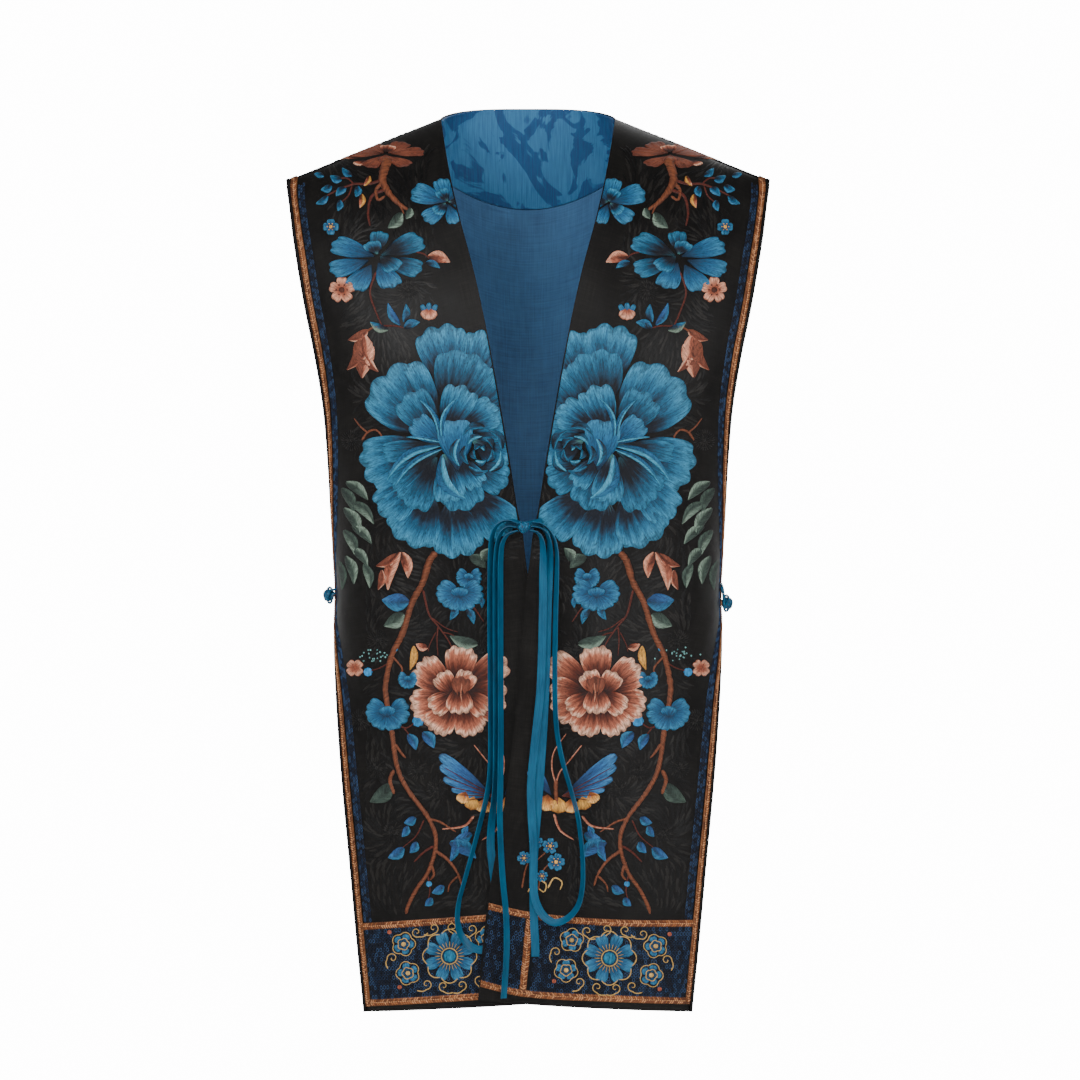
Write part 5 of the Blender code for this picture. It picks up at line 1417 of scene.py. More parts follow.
# rolled petal edges over the peony, and how far each one bows
Roll = namedtuple("Roll", "beside down tip_beside tip_down width bend")
ROLLS = rows_of(Roll, (
    (86, 442, 122, 437, 5, -0.05), (88, 446, 142, 482, 9, -0.16), (86, 449, 134, 488, 6, -0.12),
    (86, 455, 60, 500, 15, -0.22), (85, 440, 68, 396, 6, 0.16), (88, 440, 110, 398, 5, -0.14),
))
Leaf = namedtuple("Leaf", "beside down tip_beside tip_down width light dark bend", defaults=(0.1,))
LEAVES = rows_of(Leaf, (
    # shoulder spray
    (176, 176, 186, 168, 7, BLUE_SOFT, BLUE), (186, 180, 198, 176, 8, BLUE_SOFT, BLUE),
    (170, 186, 172, 197, 8, BLUE_SOFT, BLUE), (182, 188, 192, 196, 8, BLUE_SOFT, BLUE, -0.1),
    (196, 186, 207, 190, 8, BLUE_SOFT, BLUE), (200, 196, 212, 204, 7, BLUE_SOFT, BLUE),
    (188, 200, 190, 211, 7, BLUE_SOFT, BLUE), (204, 176, 214, 174, 6, BLUE_SOFT, BLUE, 0.0),
    (158, 176, 164, 186, 6, YELLOW, CORAL), (166, 194, 168, 208, 7, YELLOW, CORAL),
    (126, 213, 140, 228, 12, GREEN, GREEN_DARK), (117, 208, 122, 219, 8, GREEN, GREEN_DARK),
    # buds and tulip
    (100, 256, 78, 262, 12, CORAL_PALE, CORAL), (102, 262, 88, 268, 7, BLUE_SOFT, BLUE),
    (128, 325, 140, 303, 8, BLUE_SOFT, VIOLET), (124, 322, 122, 304, 8, BLUE_SOFT, BLUE, -0.1),
    (124, 328, 108, 322, 9, BLUE_SOFT, BLUE), (140, 330, 158, 322, 9, GREEN, BLUE),
    (160, 330, 180, 340, 10, CORAL, RUST), (166, 332, 150, 372, 15, CORAL, RUST, -0.18),
    (166, 332, 181, 370, 16, CORAL, RUST, 0.18), (165, 334, 166, 378, 22, CORAL_PALE, RUST, 0.03),
    # willowy leaves at the side, and the coral ones beside them
    (182, 482, 160, 500, 11, GREEN, GREEN_DARK), (186, 488, 174, 512, 11, GREEN_DARK, GREEN_DARK),
    (178, 502, 154, 524, 11, GREEN_DARK, GREEN, 0.12), (184, 508, 168, 536, 12, GREEN, GREEN_DARK, 0.12),
    (176, 526, 156, 544, 10, GREEN, GREEN_DARK), (184, 530, 172, 556, 11, GREEN_DARK, GREEN),
    (176, 548, 160, 566, 10, GREEN, GREEN_DARK), (182, 556, 174, 584, 11, GREEN, GREEN_DARK),
    (164, 564, 158, 588, 10, GREEN_DARK, GREEN), (190, 560, 186, 590, 8, GREEN_DARK, GREEN_DARK),
    (126, 552, 120, 578, 11, CORAL_PALE, CORAL), (128, 552, 140, 590, 12, CORAL_PALE, CORAL, -0.1),
    (130, 554, 152, 566, 10, CORAL, RUST), (146, 570, 150, 590, 8, CORAL, RUST),
    (58, 556, 42, 568, 12, GREEN_DARK, GREEN_DARK), (46, 562, 36, 548, 11, GREEN, GREEN_DARK),
    # along the branch
    (119, 602, 146, 600, 18, BLUE_SOFT, VIOLET, 0.05), (124, 614, 144, 626, 15, GREEN, GREEN_DARK, 0.08),
    (50, 644, 78, 636, 13, GREEN, GREEN_DARK), (62, 608, 54, 624, 8, BLUE_SOFT, BLUE),
    (72, 604, 78, 620, 8, BLUE_SOFT, BLUE), (48, 596, 46, 608, 6, BLUE_SOFT, BLUE),
    (100, 648, 112, 644, 8, CORAL_PALE, CORAL), (114, 646, 118, 670, 8, YELLOW, YELLOW, 0.08),
    (133, 643, 135, 654, 6, BLUE_SOFT, BLUE), (105, 732, 94, 748, 12, BLUE_SOFT, VIOLET),
    (120, 734, 112, 750, 10, BLUE_SOFT, VIOLET), (136, 784, 158, 802, 16, GREEN_DARK, GREEN_DARK),
    (112, 818, 124, 823, 9, BLUE_SOFT, VIOLET), (120, 826, 126, 837, 8, BLUE_SOFT, VIOLET),
    (111, 842, 118, 853, 9, BLUE_SOFT, VIOLET), (124, 848, 140, 858, 11, BLUE_SOFT, VIOLET),
    (56, 834, 72, 838, 11, BLUE_SOFT, VIOLET), (78, 842, 52, 858, 15, BLUE_SOFT, VIOLET),
    (72, 838, 78, 862, 9, BLUE_SOFT, VIOLET), (64, 836, 60, 826, 7, BLUE_SOFT, VIOLET),
    (84, 886, 96, 893, 9, BLUE_SOFT, VIOLET), (96, 898, 103, 906, 8, BLUE_SOFT, VIOLET),
))
Stem = namedtuple("Stem", "route first last ramp")
STEMS = rows_of(Stem, (
    (((140, 158), (145, 174), (145, 182), (140, 192), (130, 203), (120, 210)), 10, 3.5, BARK),
    (((145, 182), (152, 190), (150, 200), (143, 196)), 4, 2.5, BARK),
    (((144, 190), (156, 196), (160, 212), (158, 226)), 3.5, 2, TWIG),
    (((146, 180), (160, 184), (174, 184), (190, 190), (202, 196)), 3, 1.4, TWIG),
    (((174, 184), (182, 178), (196, 180)), 1.8, 1.2, TWIG),
    (((176, 186), (180, 196), (189, 204)), 1.8, 1.2, TWIG),
    (((136, 196), (128, 206), (124, 214)), 2.6, 1.6, BARK),
    (((152, 272), (158, 292), (152, 312), (146, 326)), 2.4, 1.6, TWIG),
    (((146, 326), (156, 328), (164, 334)), 2.6, 2.0, BARK),
    (((146, 326), (132, 326), (124, 328)), 2.2, 1.4, TWIG), (((164, 290), (176, 288)), 1.8, 1.2, TWIG),
    (((112, 252), (104, 254), (98, 259)), 2.2, 1.2, TWIG),
    (((166, 440), (160, 432), (152, 430), (146, 437), (150, 442)), 2.6, 1.6, BARK),
    (((160, 433), (168, 426), (174, 418)), 2.0, 1.2, BARK),
    (((92, 552), (99, 562), (105, 582), (116, 603), (125, 632), (136, 655), (142, 681), (142, 697),
      (137, 725), (131, 766), (120, 790), (99, 819), (92, 842), (99, 870), (112, 890), (120, 906),
      (122, 914)), 6.5, 3.6, BARK),
    (((105, 590), (99, 614), (90, 626), (80, 640), (74, 652)), 2.6, 1.2, TWIG),
    (((90, 626), (91, 640), (90, 656)), 1.8, 1.0, TWIG),
    (((96, 618), (82, 628), (70, 632)), 1.6, 1.0, TWIG),
    (((86, 632), (74, 636), (64, 650)), 1.4, 1.0, TWIG),
    (((92, 632), (98, 644), (100, 652)), 1.4, 1.0, TWIG),
    (((64, 600), (54, 608), (44, 622)), 2.0, 1.2, TWIG), (((128, 634), (124, 622)), 2.0, 1.2, BARK),
    (((136, 656), (126, 668), (128, 676)), 2.4, 1.6, BARK),
    (((136, 660), (146, 667), (158, 671)), 1.6, 1.2, TWIG),
    (((131, 724), (122, 728), (112, 722)), 2.0, 1.2, TWIG), (((124, 728), (116, 738)), 1.6, 1.0, TWIG),
    (((133, 744), (126, 754), (122, 758)), 3.4, 2.0, BARK),
    (((134, 770), (138, 780), (134, 794)), 4.6, 3.6, BARK),
    (((99, 819), (88, 822), (72, 832)), 2.8, 1.4, BARK),
    (((104, 820), (112, 836), (126, 848)), 1.8, 1.0, TWIG),
    (((94, 846), (104, 852), (114, 862)), 3.0, 1.6, TWIG),
    (((94, 850), (80, 860), (70, 874), (66, 886)), 3.6, 2.2, BARK),
    (((70, 876), (78, 884), (80, 892)), 2.4, 1.4, BARK),
    (((98, 862), (94, 874), (98, 880)), 3.4, 2.2, BARK),
    (((100, 876), (98, 890), (100, 900)), 1.8, 1.0, TWIG),
))
# butterfly: feelers, tails and body
BUTTERFLY = rows_of(Stem, (
    (((38, 734), (26, 752), (24, 768), (28, 784)), 1.2, 1.8, CORAL_PALE),
    (((54, 745), (42, 760), (32, 772), (28, 784)), 1.2, 1.8, CORAL_PALE),
    (((26, 814), (32, 830), (46, 840)), 3.0, 1.4, CORAL_PALE),
    (((54, 816), (64, 826), (86, 829)), 3.0, 1.4, CORAL_PALE),
    (((28, 780), (28, 795), (30, 806)), 4.5, 3.4, BARK),
))
FLOWERS = (PEONY, CORAL_PEONY, TIERED, EDGE_BLOSSOM, RUST_PEONY)
print("petals:", sum(map(len, FLOWERS)), "leaves:", len(LEAVES), "stems:", len(STEMS))

# %% [markdown]
# ## Sewing the fronts
# Stems are laid first, then leaves, then petals from the back of each flower to its front. Every
# layer of petals stands about a third of a millimetre above the last, as padded satin stitch does,
# and the coral peony has a short couched line in its heart.

# %% Draw the flowers on both fronts


def petals(work, table, squash=1.0, size=(19, 15)):
    for row in sorted(table, key=lambda petal: petal.layer):
        fan(
            work, row.beside, row.down, row.angle + CHANCE.uniform(-2, 2), row.spread, row.reach, row.ramp,
            row.lobes, 0.36 * row.layer, squash, size=size,
        )


def blossom(work, across, y, radius, ramp, heart, count=5, turn=90.0, squash=1.0):
    """A small open flower with round petals and knots in its heart."""
    for k in range(count):
        angle, spread = turn + 360 * k / count, 360 / count * 1.12
        fan(work, across, y, angle, spread, radius, ramp, 2, 0.10 * (k % 2), squash, size=(11, 9))
    domes(work, across, y, radius * 0.26, heart, 0.75, 0.35)
    ring = np.radians(np.arange(0, 360, 60))
    spots = (across + radius * 0.42 * np.cos(ring), y + radius * 0.42 * np.sin(ring) * squash)
    domes(work, *spots, radius * 0.08, heart, 0.45, 0.55)


def cup(work, across, y, wide, tall, ramp, lift=0.0):
    """A blossom from the side: a ring of short petals round a padded middle."""
    shape = {"squash": tall / wide, "size": (13, 10)}
    for angle in (30, 150, 200, 250, 300, 345):
        fan(work, across, y, angle, 74, wide, ramp, 2, lift, **shape)
    fan(work, across, y + tall * 0.3, 90, 120, wide * 0.62, BLUE_SOFT, 3, lift + 0.4, **shape)


def flowers(work):
    """Everything shaded in silk floss on one front."""
    for row in STEMS + BUTTERFLY:
        stem(work, row.route, (row.first, row.last), row.ramp, rough=0.08 if row.ramp is BARK else 0.0)
    for row in LEAVES:
        leaf(work, row[:2], row[2:4], row.width, row.light, row.dark, row.bend)
    petals(work, RUST_PEONY, 0.42)
    petals(work, EDGE_BLOSSOM, 0.85)
    petals(work, TIERED, 0.72)
    petals(work, PEONY, size=(31, 23))
    for row in ROLLS:
        leaf(work, row[:2], row[2:4], row.width, BLUE_CREST, BLUE_SOFT, row.bend, 1.25)
    for k in range(13):
        turn, reach = np.radians(-70 * k), 25 - 1.7 * k
        turns = (turn - 0.62, turn + 0.62)
        ends = [(47 + reach * np.cos(way), 452 + reach * 1.1 * np.sin(way)) for way in turns]
        leaf(work, *ends, 9 - 0.3 * k, BLUE if k % 3 else BLUE_CREST, BLUE_DEEP, -0.24, 1.1 + 0.09 * k)
    petals(work, CORAL_PEONY, size=(25, 17))
    cup(work, 59, 577, 13, 12, BLUE_SOFT)
    cup(work, 68, 593, 24, 18, BLUE_SOFT, 0.3)
    cup(work, 140, 712, 22, 19, BLUE_SOFT, 0.9)
    cup(work, 120, 679, 10, 10, BLUE_SOFT, 0.2)
    domes(work, (110, 160, 99), (721, 672, 884), (6, 4.5, 3), "#2b7fb4", 0.7)
    blossom(work, 186, 290, 13, CORAL_PALE, "#4a2318")
    blossom(work, 173, 668, 9, CORAL_PALE, "#8a4630", 4, 45.0)
    blossom(work, 197, 227, 8, BLUE_SOFT, "#dca24c", 4)
    for turn in (60, 90, 120):
        fan(work, 99, 318, turn, 34, 15, BLUE_SOFT, 1, size=(9, 8))
    fan(work, 99, 308, -90, 150, 12, CORAL_PALE, 5, 0.2, size=(15, 9))
    # the butterfly's wings
    fan(work, 24, 796, 128, 40, 34, VIOLET, 2, 0.1, puff=0.7, size=(11, 12))
    for angle, reach in ((-2, 32), (9, 42), (19, 52), (29, 60), (37, 66)):
        ramp = VIOLET if angle % 2 else BLUE_SOFT
        fan(work, 34, 796, angle, 17, reach, ramp, 1, 0.1, puff=0.7, size=(9, 12))
        tip = np.radians(angle - 7)
        vein = ((34, 796), (34 + reach * 0.86 * np.cos(tip), 796 - reach * 0.86 * np.sin(tip)))
        stem(work, vein, (1.3, 0.9), TWIG, lift=0.8, height=0.35)
    for k, (across, down) in enumerate(((20, 800), (31, 803), (43, 804), (54, 802), (62, 797))):
        ramp = YELLOW if k % 2 else EMBER
        fan(work, across, down - 6, -85 + 8 * (k - 2), 110, 17 - k, ramp, 3, 0.3, size=(11, 9))
    # bloom dots by the side twig
    spots = CHANCE.normal(0, 1, (2, 26))
    domes(work, 153 + 9 * spots[0], 655 + 3.2 * spots[1], 0.9, "#6fa3a0", 0.4)
    # the coral peony's middle line
    stem(work, ((66, 683), (67, 694), (66, 702)), (1.6, 1.2), CORAL_PALE, lift=1.5, height=0.4)


def sprig(work):
    """The small blue cluster low on the front edge of the lapping front."""
    for route in (
        ((2, 884), (4, 866), (18, 852)), ((10, 890), (14, 872), (28, 858)), ((-6, 888), (-2, 868), (8, 846)),
    ):
        stem(work, route, (2.2, 1.2), BARK)
    for across, y, radius in ((22, 846, 8), (28, 862, 9), (8, 842, 7), (14, 876, 6), (-4, 858, 7)):
        blossom(work, across, y, radius, BLUE_SOFT, "#dca24c", 5, CHANCE.uniform(0, 90))
    for route in (
        ((0, 892), (8, 880), (18, 884), (16, 892), (10, 888)), ((20, 888), (26, 878), (34, 882), (32, 890)),
    ):
        stem(work, route, (1.8, 1.2), GOLD_LINE)


sewn = {"front_left": Stitches(front_left, 1), "front_right": Stitches(front_right, -1)}
for tag, work in sewn.items():
    flowers(work)
    if tag == "front_left":
        sprig(work)
    work.piece(f"silk_flowers_{tag}", silk_floss, "satin")

# %% [markdown]
# ## Black on black
# The ground between the flowers is sewn as well, in black floss on black satin: peacock eyes, with
# barbs that fan out round them and meet in long combed waves. Only the shine tells them from the
# cloth. Each barb is one slim stitch. Their places come from an even array with a little chance,
# and their angles from a slowly turning field. A map of what is already sewn keeps them clear of
# the flowers. The back, which the photograph does not show, has the same ground and no flowers.

# %% The combed ground
EYES = (
    (151, 768), (110, 770), (135, 832), (46, 650), (91, 789), (62, 738), (150, 640), (168, 720), (118, 500),
    (176, 440), (176, 250), (120, 290),
)
ONE_SIDE_EYES = (
    (60, 200), (130, 250), (75, 330), (140, 400), (50, 470), (120, 540), (70, 620), (135, 690), (55, 760),
    (110, 830),
)
BACK_EYES = tuple((side * x, y) for side in (-1, 1) for x, y in ONE_SIDE_EYES)
BLACKS = ("#020202", "#080707", "#1d1b19")


def comb_angle(x, y):
    """The lie of the barbs, in degrees."""
    wave = 52 * np.sin(x / 27 + 1.4 * np.sin(y / 37)) + 34 * np.sin(y / 21 + x / 45)
    return 96 + wave


def eyes_and_barbs(work, eyes, inside, pitch=(5.4, 3.6)):
    """Fills a region with barbs. inside tells for each place how thickly it is sewn, from 0 to 1."""
    first, top = (-215, 130) if work.panel is back else (-45, 150)
    grid = np.meshgrid(np.arange(first, 215, pitch[0]), np.arange(top, 915, pitch[1]))
    grid = np.stack(grid, axis=-1).reshape(-1, 2)
    x, y = (grid + CHANCE.uniform(-1.3, 1.3, grid.shape)).T
    angle = comb_angle(x, y)
    for across, down in eyes:
        away = np.hypot(x - across, y - down)
        outward = np.degrees(np.arctan2(-(y - down), x - across)) + 28
        near = np.clip((46 - away) / 14, 0, 1)
        turn = (outward - angle + 90) % 180 - 90
        angle = angle + turn * near
    clear = np.all([np.hypot(x - across, y - down) > 12.5 for across, down in eyes], axis=0)
    rows, columns = work.cells(x, y)
    keep = clear & ~work.taken[rows, columns] & (CHANCE.uniform(0, 1, len(x)) < inside(x, y))
    x, y, angle = x[keep], y[keep], angle[keep]
    length, bend = CHANCE.uniform(9, 12.5, len(x)), CHANCE.uniform(10, 40, len(x))
    strokes(work, x, y, angle, length, 2.3, bend, BLACKS, 0.36, rows=5)
    for across, down in eyes:
        if work.taken[work.cells(across, down)]:
            continue
        for radius, number in ((4.2, 14), (8.6, 26)):
            ring = np.radians(np.linspace(0, 360, number, endpoint=False))
            spots = (across + radius * np.cos(ring), down + radius * np.sin(ring))
            strokes(work, *spots, -np.degrees(ring) + 8, 4.4, 1.5, 0, BLACKS, 0.42, rows=5)
        domes(work, across, down, 1.9, "#131110", 0.5)
    return len(x)


def side_line(width, narrowing, y):
    """How far out the ground reaches at each height: less at the waist and towards the hem."""
    waist = 16 * np.sin(np.clip((y - 180) / 640, 0, 1) * np.pi)
    return width - narrowing * np.clip(y - 180, 0, 800) - waist


def front_field(x, y):
    """The fronts are plain beside the neck opening and along their own edges."""
    by_neck = np.clip((x - 92 + np.clip(y - 330, 0, 90)) / 12, 0, 1)
    low = np.clip((x - 30) / 16, 0, 1) * (y > 560)
    past = np.clip((side_line(206, 0.062, y) - x) / 8, 0, 1)
    above = np.clip((912 - y) / 8, 0, 1)
    return np.where(y > 560, low, by_neck) * past * above


def back_field(x, y):
    past = np.clip((side_line(196, 0.060, y) - np.abs(x)) / 8, 0, 1)
    return past * np.clip((908 - y) / 8, 0, 1) * (y > 128)


for tag, work in sewn.items():
    ground = Stitches(work.panel, work.side)
    ground.taken = work.taken | np.roll(work.taken, 1, 1) | np.roll(work.taken, 1, 0)
    count = eyes_and_barbs(ground, EYES, front_field)
    ground.piece(f"black_ground_{tag}", black_floss, "satin")
    print(f"{tag}: {count} barbs")
back_ground = Stitches(back, 1)
print("back:", eyes_and_barbs(back_ground, BACK_EYES, back_field, (7.8, 5.0)), "barbs")
back_ground.piece("black_ground_back", black_floss, "satin")

# %% [markdown]
# ## Braid, chain stitch and hem medallions
# The braids get their plait: two rows of slanting stitches that meet as a herringbone, with a row
# of small bright knots between. Beside the braid runs a navy border of chain stitch, and the hem
# bands are filled with rows of small navy loops. On the bands stand the medallions: an eight-
# petalled flower in a gilt ring, four small ones at its corners, and gilt scrolls between them.

# %% Stitches counted on the cloth itself
COPPERS = ("#a8663e", "#d6966a", "#74402a")
PLAIT_TALL = 1.3


def plait(work, panel, grid, pitch=2.1):
    """Herringbone stitches along one braid. The grid holds its (u, v), along by across."""
    rows = grid.shape[0]
    places = panel.at(grid[..., 0], grid[..., 1], 0.0)
    middle = places[:, grid.shape[1] // 2]
    run = run_along(middle) / MM
    count = max(4, int(run[-1] / pitch))
    marks = (np.arange(count) + 0.5) * run[-1] / count
    line = np.interp(marks, run, np.arange(rows))
    wide = grid.shape[1] - 1
    s, t = np.meshgrid(np.array([-1.0, 0.0, 1.0]), np.linspace(0, 1, 5))
    for first, last in ((0.06, 0.48), (0.94, 0.52)):
        across = (first + (last - first) * t)[None] * wide + np.zeros((count, 1, 1))
        slant = (t - 0.5) * 0.9 + s * 0.34 * np.sin(np.pi * np.clip(t, 0.12, 0.88)) ** 0.5
        along_row = line[:, None, None] + slant[None] * (rows - 1) / count
        along_row = np.clip(along_row, 0, rows - 1)
        u = Panel.read(grid[..., 0], along_row, across)
        v = Panel.read(grid[..., 1], along_row, across)
        swell = np.sin(np.pi * np.clip(t, 0.1, 0.9)) ** 0.5 * (1 - np.abs(s) * 0.75)
        height = TRIM_LIFT + 0.3 + (PLAIT_TALL - 0.3) * swell
        uv = np.stack([s * 0.6 * MM, t * 2.0 * MM], axis=-1)
        work.patches(u, v, height, drawn(COPPERS, count), uv)
    dots = np.clip(line, 0, rows - 1)
    ring, spoke = rings((1.0, 0.7, 0.05), 0, 360, 7)
    along_row = np.clip(dots[:, None, None] + ring * np.cos(spoke) * 0.4 * (rows - 1) / count, 0, rows - 1)
    across = wide * (0.5 + 0.07 * ring * np.sin(spoke)) + np.zeros(along_row.shape)
    u, v = Panel.read(grid[..., 0], along_row, across), Panel.read(grid[..., 1], along_row, across)
    height = TRIM_LIFT + 0.8 + 0.75 * np.sqrt(1 - ring**2 * 0.95)
    work.patches(u, v, height, threads("#e6ab7c"), 0.0)


def loops(work, panel, u, v, tall, wide, codes, height=0.5, lift=0.0):
    """Chain stitches at places of the cloth: small open loops, tall and wide in millimetres."""
    ring, spoke = rings((-1.0, 0.0, 1.0), 90, 450, 7)
    reach = 1 + 0.24 * ring
    pinch = 1 - 0.35 * np.clip(np.sin(spoke), 0, 1)
    length = np.interp(u, panel.across, panel.hems - panel.tops)[:, None, None]
    uu = u[:, None, None] + wide / 2 * reach * np.cos(spoke) * pinch / panel.nominal_width
    vv = v[:, None, None] - tall / 2 * reach * np.sin(spoke) / length
    rise = lift + height * (1 - np.abs(ring) ** 2) ** 0.5 + 0.02
    uv = np.stack([ring * 0.3 * MM, spoke * wide / 3 * MM], axis=-1)
    work.patches(uu, vv, rise, drawn(codes, len(u)), uv)


NAVY = ("#1c3050", "#141f36", "#35527a")
# the navy border is three columns of chain stitch, and the bands have rows of it, in millimetres
BORDER_CLEAR, BORDER_COLUMNS, BORDER_TALL, BORDER_WIDE = 2.2, (0.0, 2.9, 5.8), 3.3, 2.0
BAND_CLEAR, BAND_ROWS, BAND_TALL, BAND_WIDE = 1.8, 15, 3.6, 2.3
CHAIN_PITCH = 3.1
metal = {tag: Stitches(panel, 1) for tag, panel in panel_of.items()}
navy = {tag: Stitches(panel, 1) for tag, panel in panel_of.items()}
tag_of = {id(panel): tag for tag, panel in panel_of.items()}
for node, panel, grid in braid_grids:
    plait(metal[tag_of[id(panel)]], panel, grid)
for tag, panel in panel_of.items():
    work, table = navy[tag], tables[tag]
    v_end = above_hem(panel, 0.9, top_braid(table, 0.9) + HALF_BRAID + 1.5)
    start = braid_inset + BRAID_WIDTH + BORDER_CLEAR
    drops = np.arange(0.012, v_end, CHAIN_PITCH / LENGTH_AT_SIDE)
    sides = (1, -1) if tag == "back" else (1,)
    for side in sides:
        for column in BORDER_COLUMNS:
            reach = (start + column) / panel.nominal_width
            u = np.full(len(drops), 1 - reach if side > 0 else reach)
            v = drops + (column == BORDER_COLUMNS[1]) * 1.5 / LENGTH_AT_SIDE
            loops(work, panel, u, v, BORDER_TALL, BORDER_WIDE, NAVY, 0.55)
    ends = (braid_inset + BRAID_WIDTH + 2.0) / panel.nominal_width
    span = (ends, 1 - ends) if tag == "back" else (3.0 / FRONT_WIDTH, 1 - ends)
    u = np.arange(span[0], span[1], CHAIN_PITCH / panel.nominal_width)
    if tag == "front_left":
        u = u[(u < lap_span[0] - 0.006) | (u > lap_span[1] + 0.006)]
    foot, top = HALF_BRAID + BAND_CLEAR, -HALF_BRAID - BAND_CLEAR
    heights = [(low_braid(table, k) + foot, top_braid(table, k) + top) for k in u]
    for line in range(BAND_ROWS):
        share = line / (BAND_ROWS - 1)
        shifted = u + (line % 2) * CHAIN_PITCH / 2 / panel.nominal_width
        v = np.array([above_hem(panel, k, mixed(low, high, share)) for k, (low, high) in zip(u, heights)])
        keep = shifted < span[1]
        loops(work, panel, shifted[keep], v[keep], BAND_TALL, BAND_WIDE, NAVY, 0.5, ON_BAND)
print("braids:", len(braid_grids))

# %% Medallions and scrolls of the hem bands
Scroll = namedtuple("Scroll", "aside below way turn")
SCROLLS = rows_of(Scroll, (
    (-22, -27, 1, 20), (-3, -29, -1, 160), (16, -28, 1, 10), (33, -24, -1, 200), (-30, 24, -1, 150),
    (-12, 29, 1, 20), (6, 30, -1, 170), (23, 28, 1, 10), (-53, -6, 1, 90), (57, 2, -1, 90),
))


def lobed(across, y, radius, lobes, depth, turn=0.0, count=65):
    """A closed outline with round lobes."""
    angle = np.radians(np.linspace(0, 360, count))
    reach = radius * (1 - depth + depth * np.abs(np.sin(lobes / 2 * angle + math.radians(turn))))
    return np.stack([across + reach * np.cos(angle), y - reach * np.sin(angle)], axis=-1)


def scroll(work, across, y, way, turn, radius=6.0):
    """A tendril that winds in on itself."""
    t = np.linspace(0, 1, 26)
    angle = np.radians(turn) + way * (0.4 + 8.2 * t)
    reach = radius * (1 - 0.86 * t) * (1 + 0.9 * np.clip(0.12 - t, 0, 1) / 0.12)
    points = np.stack([across + reach * np.cos(angle), y + reach * np.sin(angle)], axis=-1)
    stem(work, points, (1.7, 1.1), GOLD_LINE, lift=ON_BAND, height=0.5, step=1.2)


def gilt_ring(gilt, outline, width, height, lift=ON_BAND):
    """A couched gilt cord round a closed outline on a hem band."""
    stem(gilt, outline, (width, width), GOLD_LINE, lift=lift, height=height, step=1.5)


def medallion(work, gilt, across, y, reach=150.0):
    """One medallion with its corner flowers and scrolls, where they fit within the band."""
    for k in range(8):
        lift = ON_BAND + 0.08 * (k % 2)
        fan(work, across, y, 22.5 + 45 * k, 46, 26, BLUE_SOFT, 2, lift, puff=0.7, size=(11, 9))
    gilt_ring(gilt, lobed(across, y, 27.0, 8, 0.16, 90), 1.5, 0.55)
    for k in range(24):
        turn = math.radians(15 * k)
        spot = np.array([[across + 11.5 * math.cos(turn)], [y - 11.5 * math.sin(turn)]])
        strokes(gilt, *spot, 15 * k, 7.0, 1.5, 0, ("#c9a15f",), 1.0, ON_BAND + 0.5)
    domes(work, across, y, 7.0, "#1a6f92", 1.1, ON_BAND + 0.6)
    gilt_ring(gilt, lobed(across, y, 8.0, 2, 0.0), 1.3, 0.45, ON_BAND + 0.9)
    for dx, dy, turn in ((-37.4, -18, 60), (-43, 12, 90), (46, -12, 110), (41.6, 17, 75)):
        if abs(across + dx) > reach - 9:
            continue
        for k in range(5):
            angle = turn + 72 * k
            fan(work, across + dx, y + dy, angle, 74, 10.5, BLUE_SOFT, 1, ON_BAND, puff=0.6, size=(9, 8))
        gilt_ring(gilt, lobed(across + dx, y + dy, 12.0, 5, 0.2, turn * 2.5 + 90), 1.2, 0.5)
        gilt_ring(gilt, lobed(across + dx, y + dy, 6.0, 5, 0.2, turn * 2.5 + 90), 1.1, 0.4, ON_BAND + 0.5)
        domes(gilt, across + dx, y + dy, 2.8, "#c9a15f", 0.8, ON_BAND + 0.4)
    for row in SCROLLS:
        if abs(across + row.aside) < reach:
            scroll(gilt, across + row.aside, y + row.below, row.way, row.turn)
    beads = across + np.array([60, 50, -55]), y + np.array([-24.0, 31, 23])
    domes(work, *beads, 2.6, "#a3523a", 0.8, ON_BAND)


MEDALLIONS = {
    "front_left": ((81, 958),), "front_right": ((78, 956),), "back": ((-104, 957), (0, 957), (104, 957)),
}
for tag, places in MEDALLIONS.items():
    panel, side = panel_of[tag], -1 if tag == "front_right" else 1
    flat = Stitches(panel, side)
    metal[tag].side = side
    for place in places:
        medallion(flat, metal[tag], *place)
    flat.piece(f"hem_medallions_{tag}", silk_floss, "band")
    metal[tag].piece(f"metal_stitches_{tag}", gilt_thread, "braid")
    navy[tag].piece(f"navy_stitches_{tag}", silk_floss, "band")

# %% [markdown]
# ## Knots of silk cord
# The side toggles are knotted balls: a cord goes round a ball several times, over and under itself,
# and a second cord makes the loop that catches it. The tie's knot is the same idea in ribbon. Each
# route is a closed curve over an ellipsoid, swept with a ring of points.

# %% Cords, knots and toggles


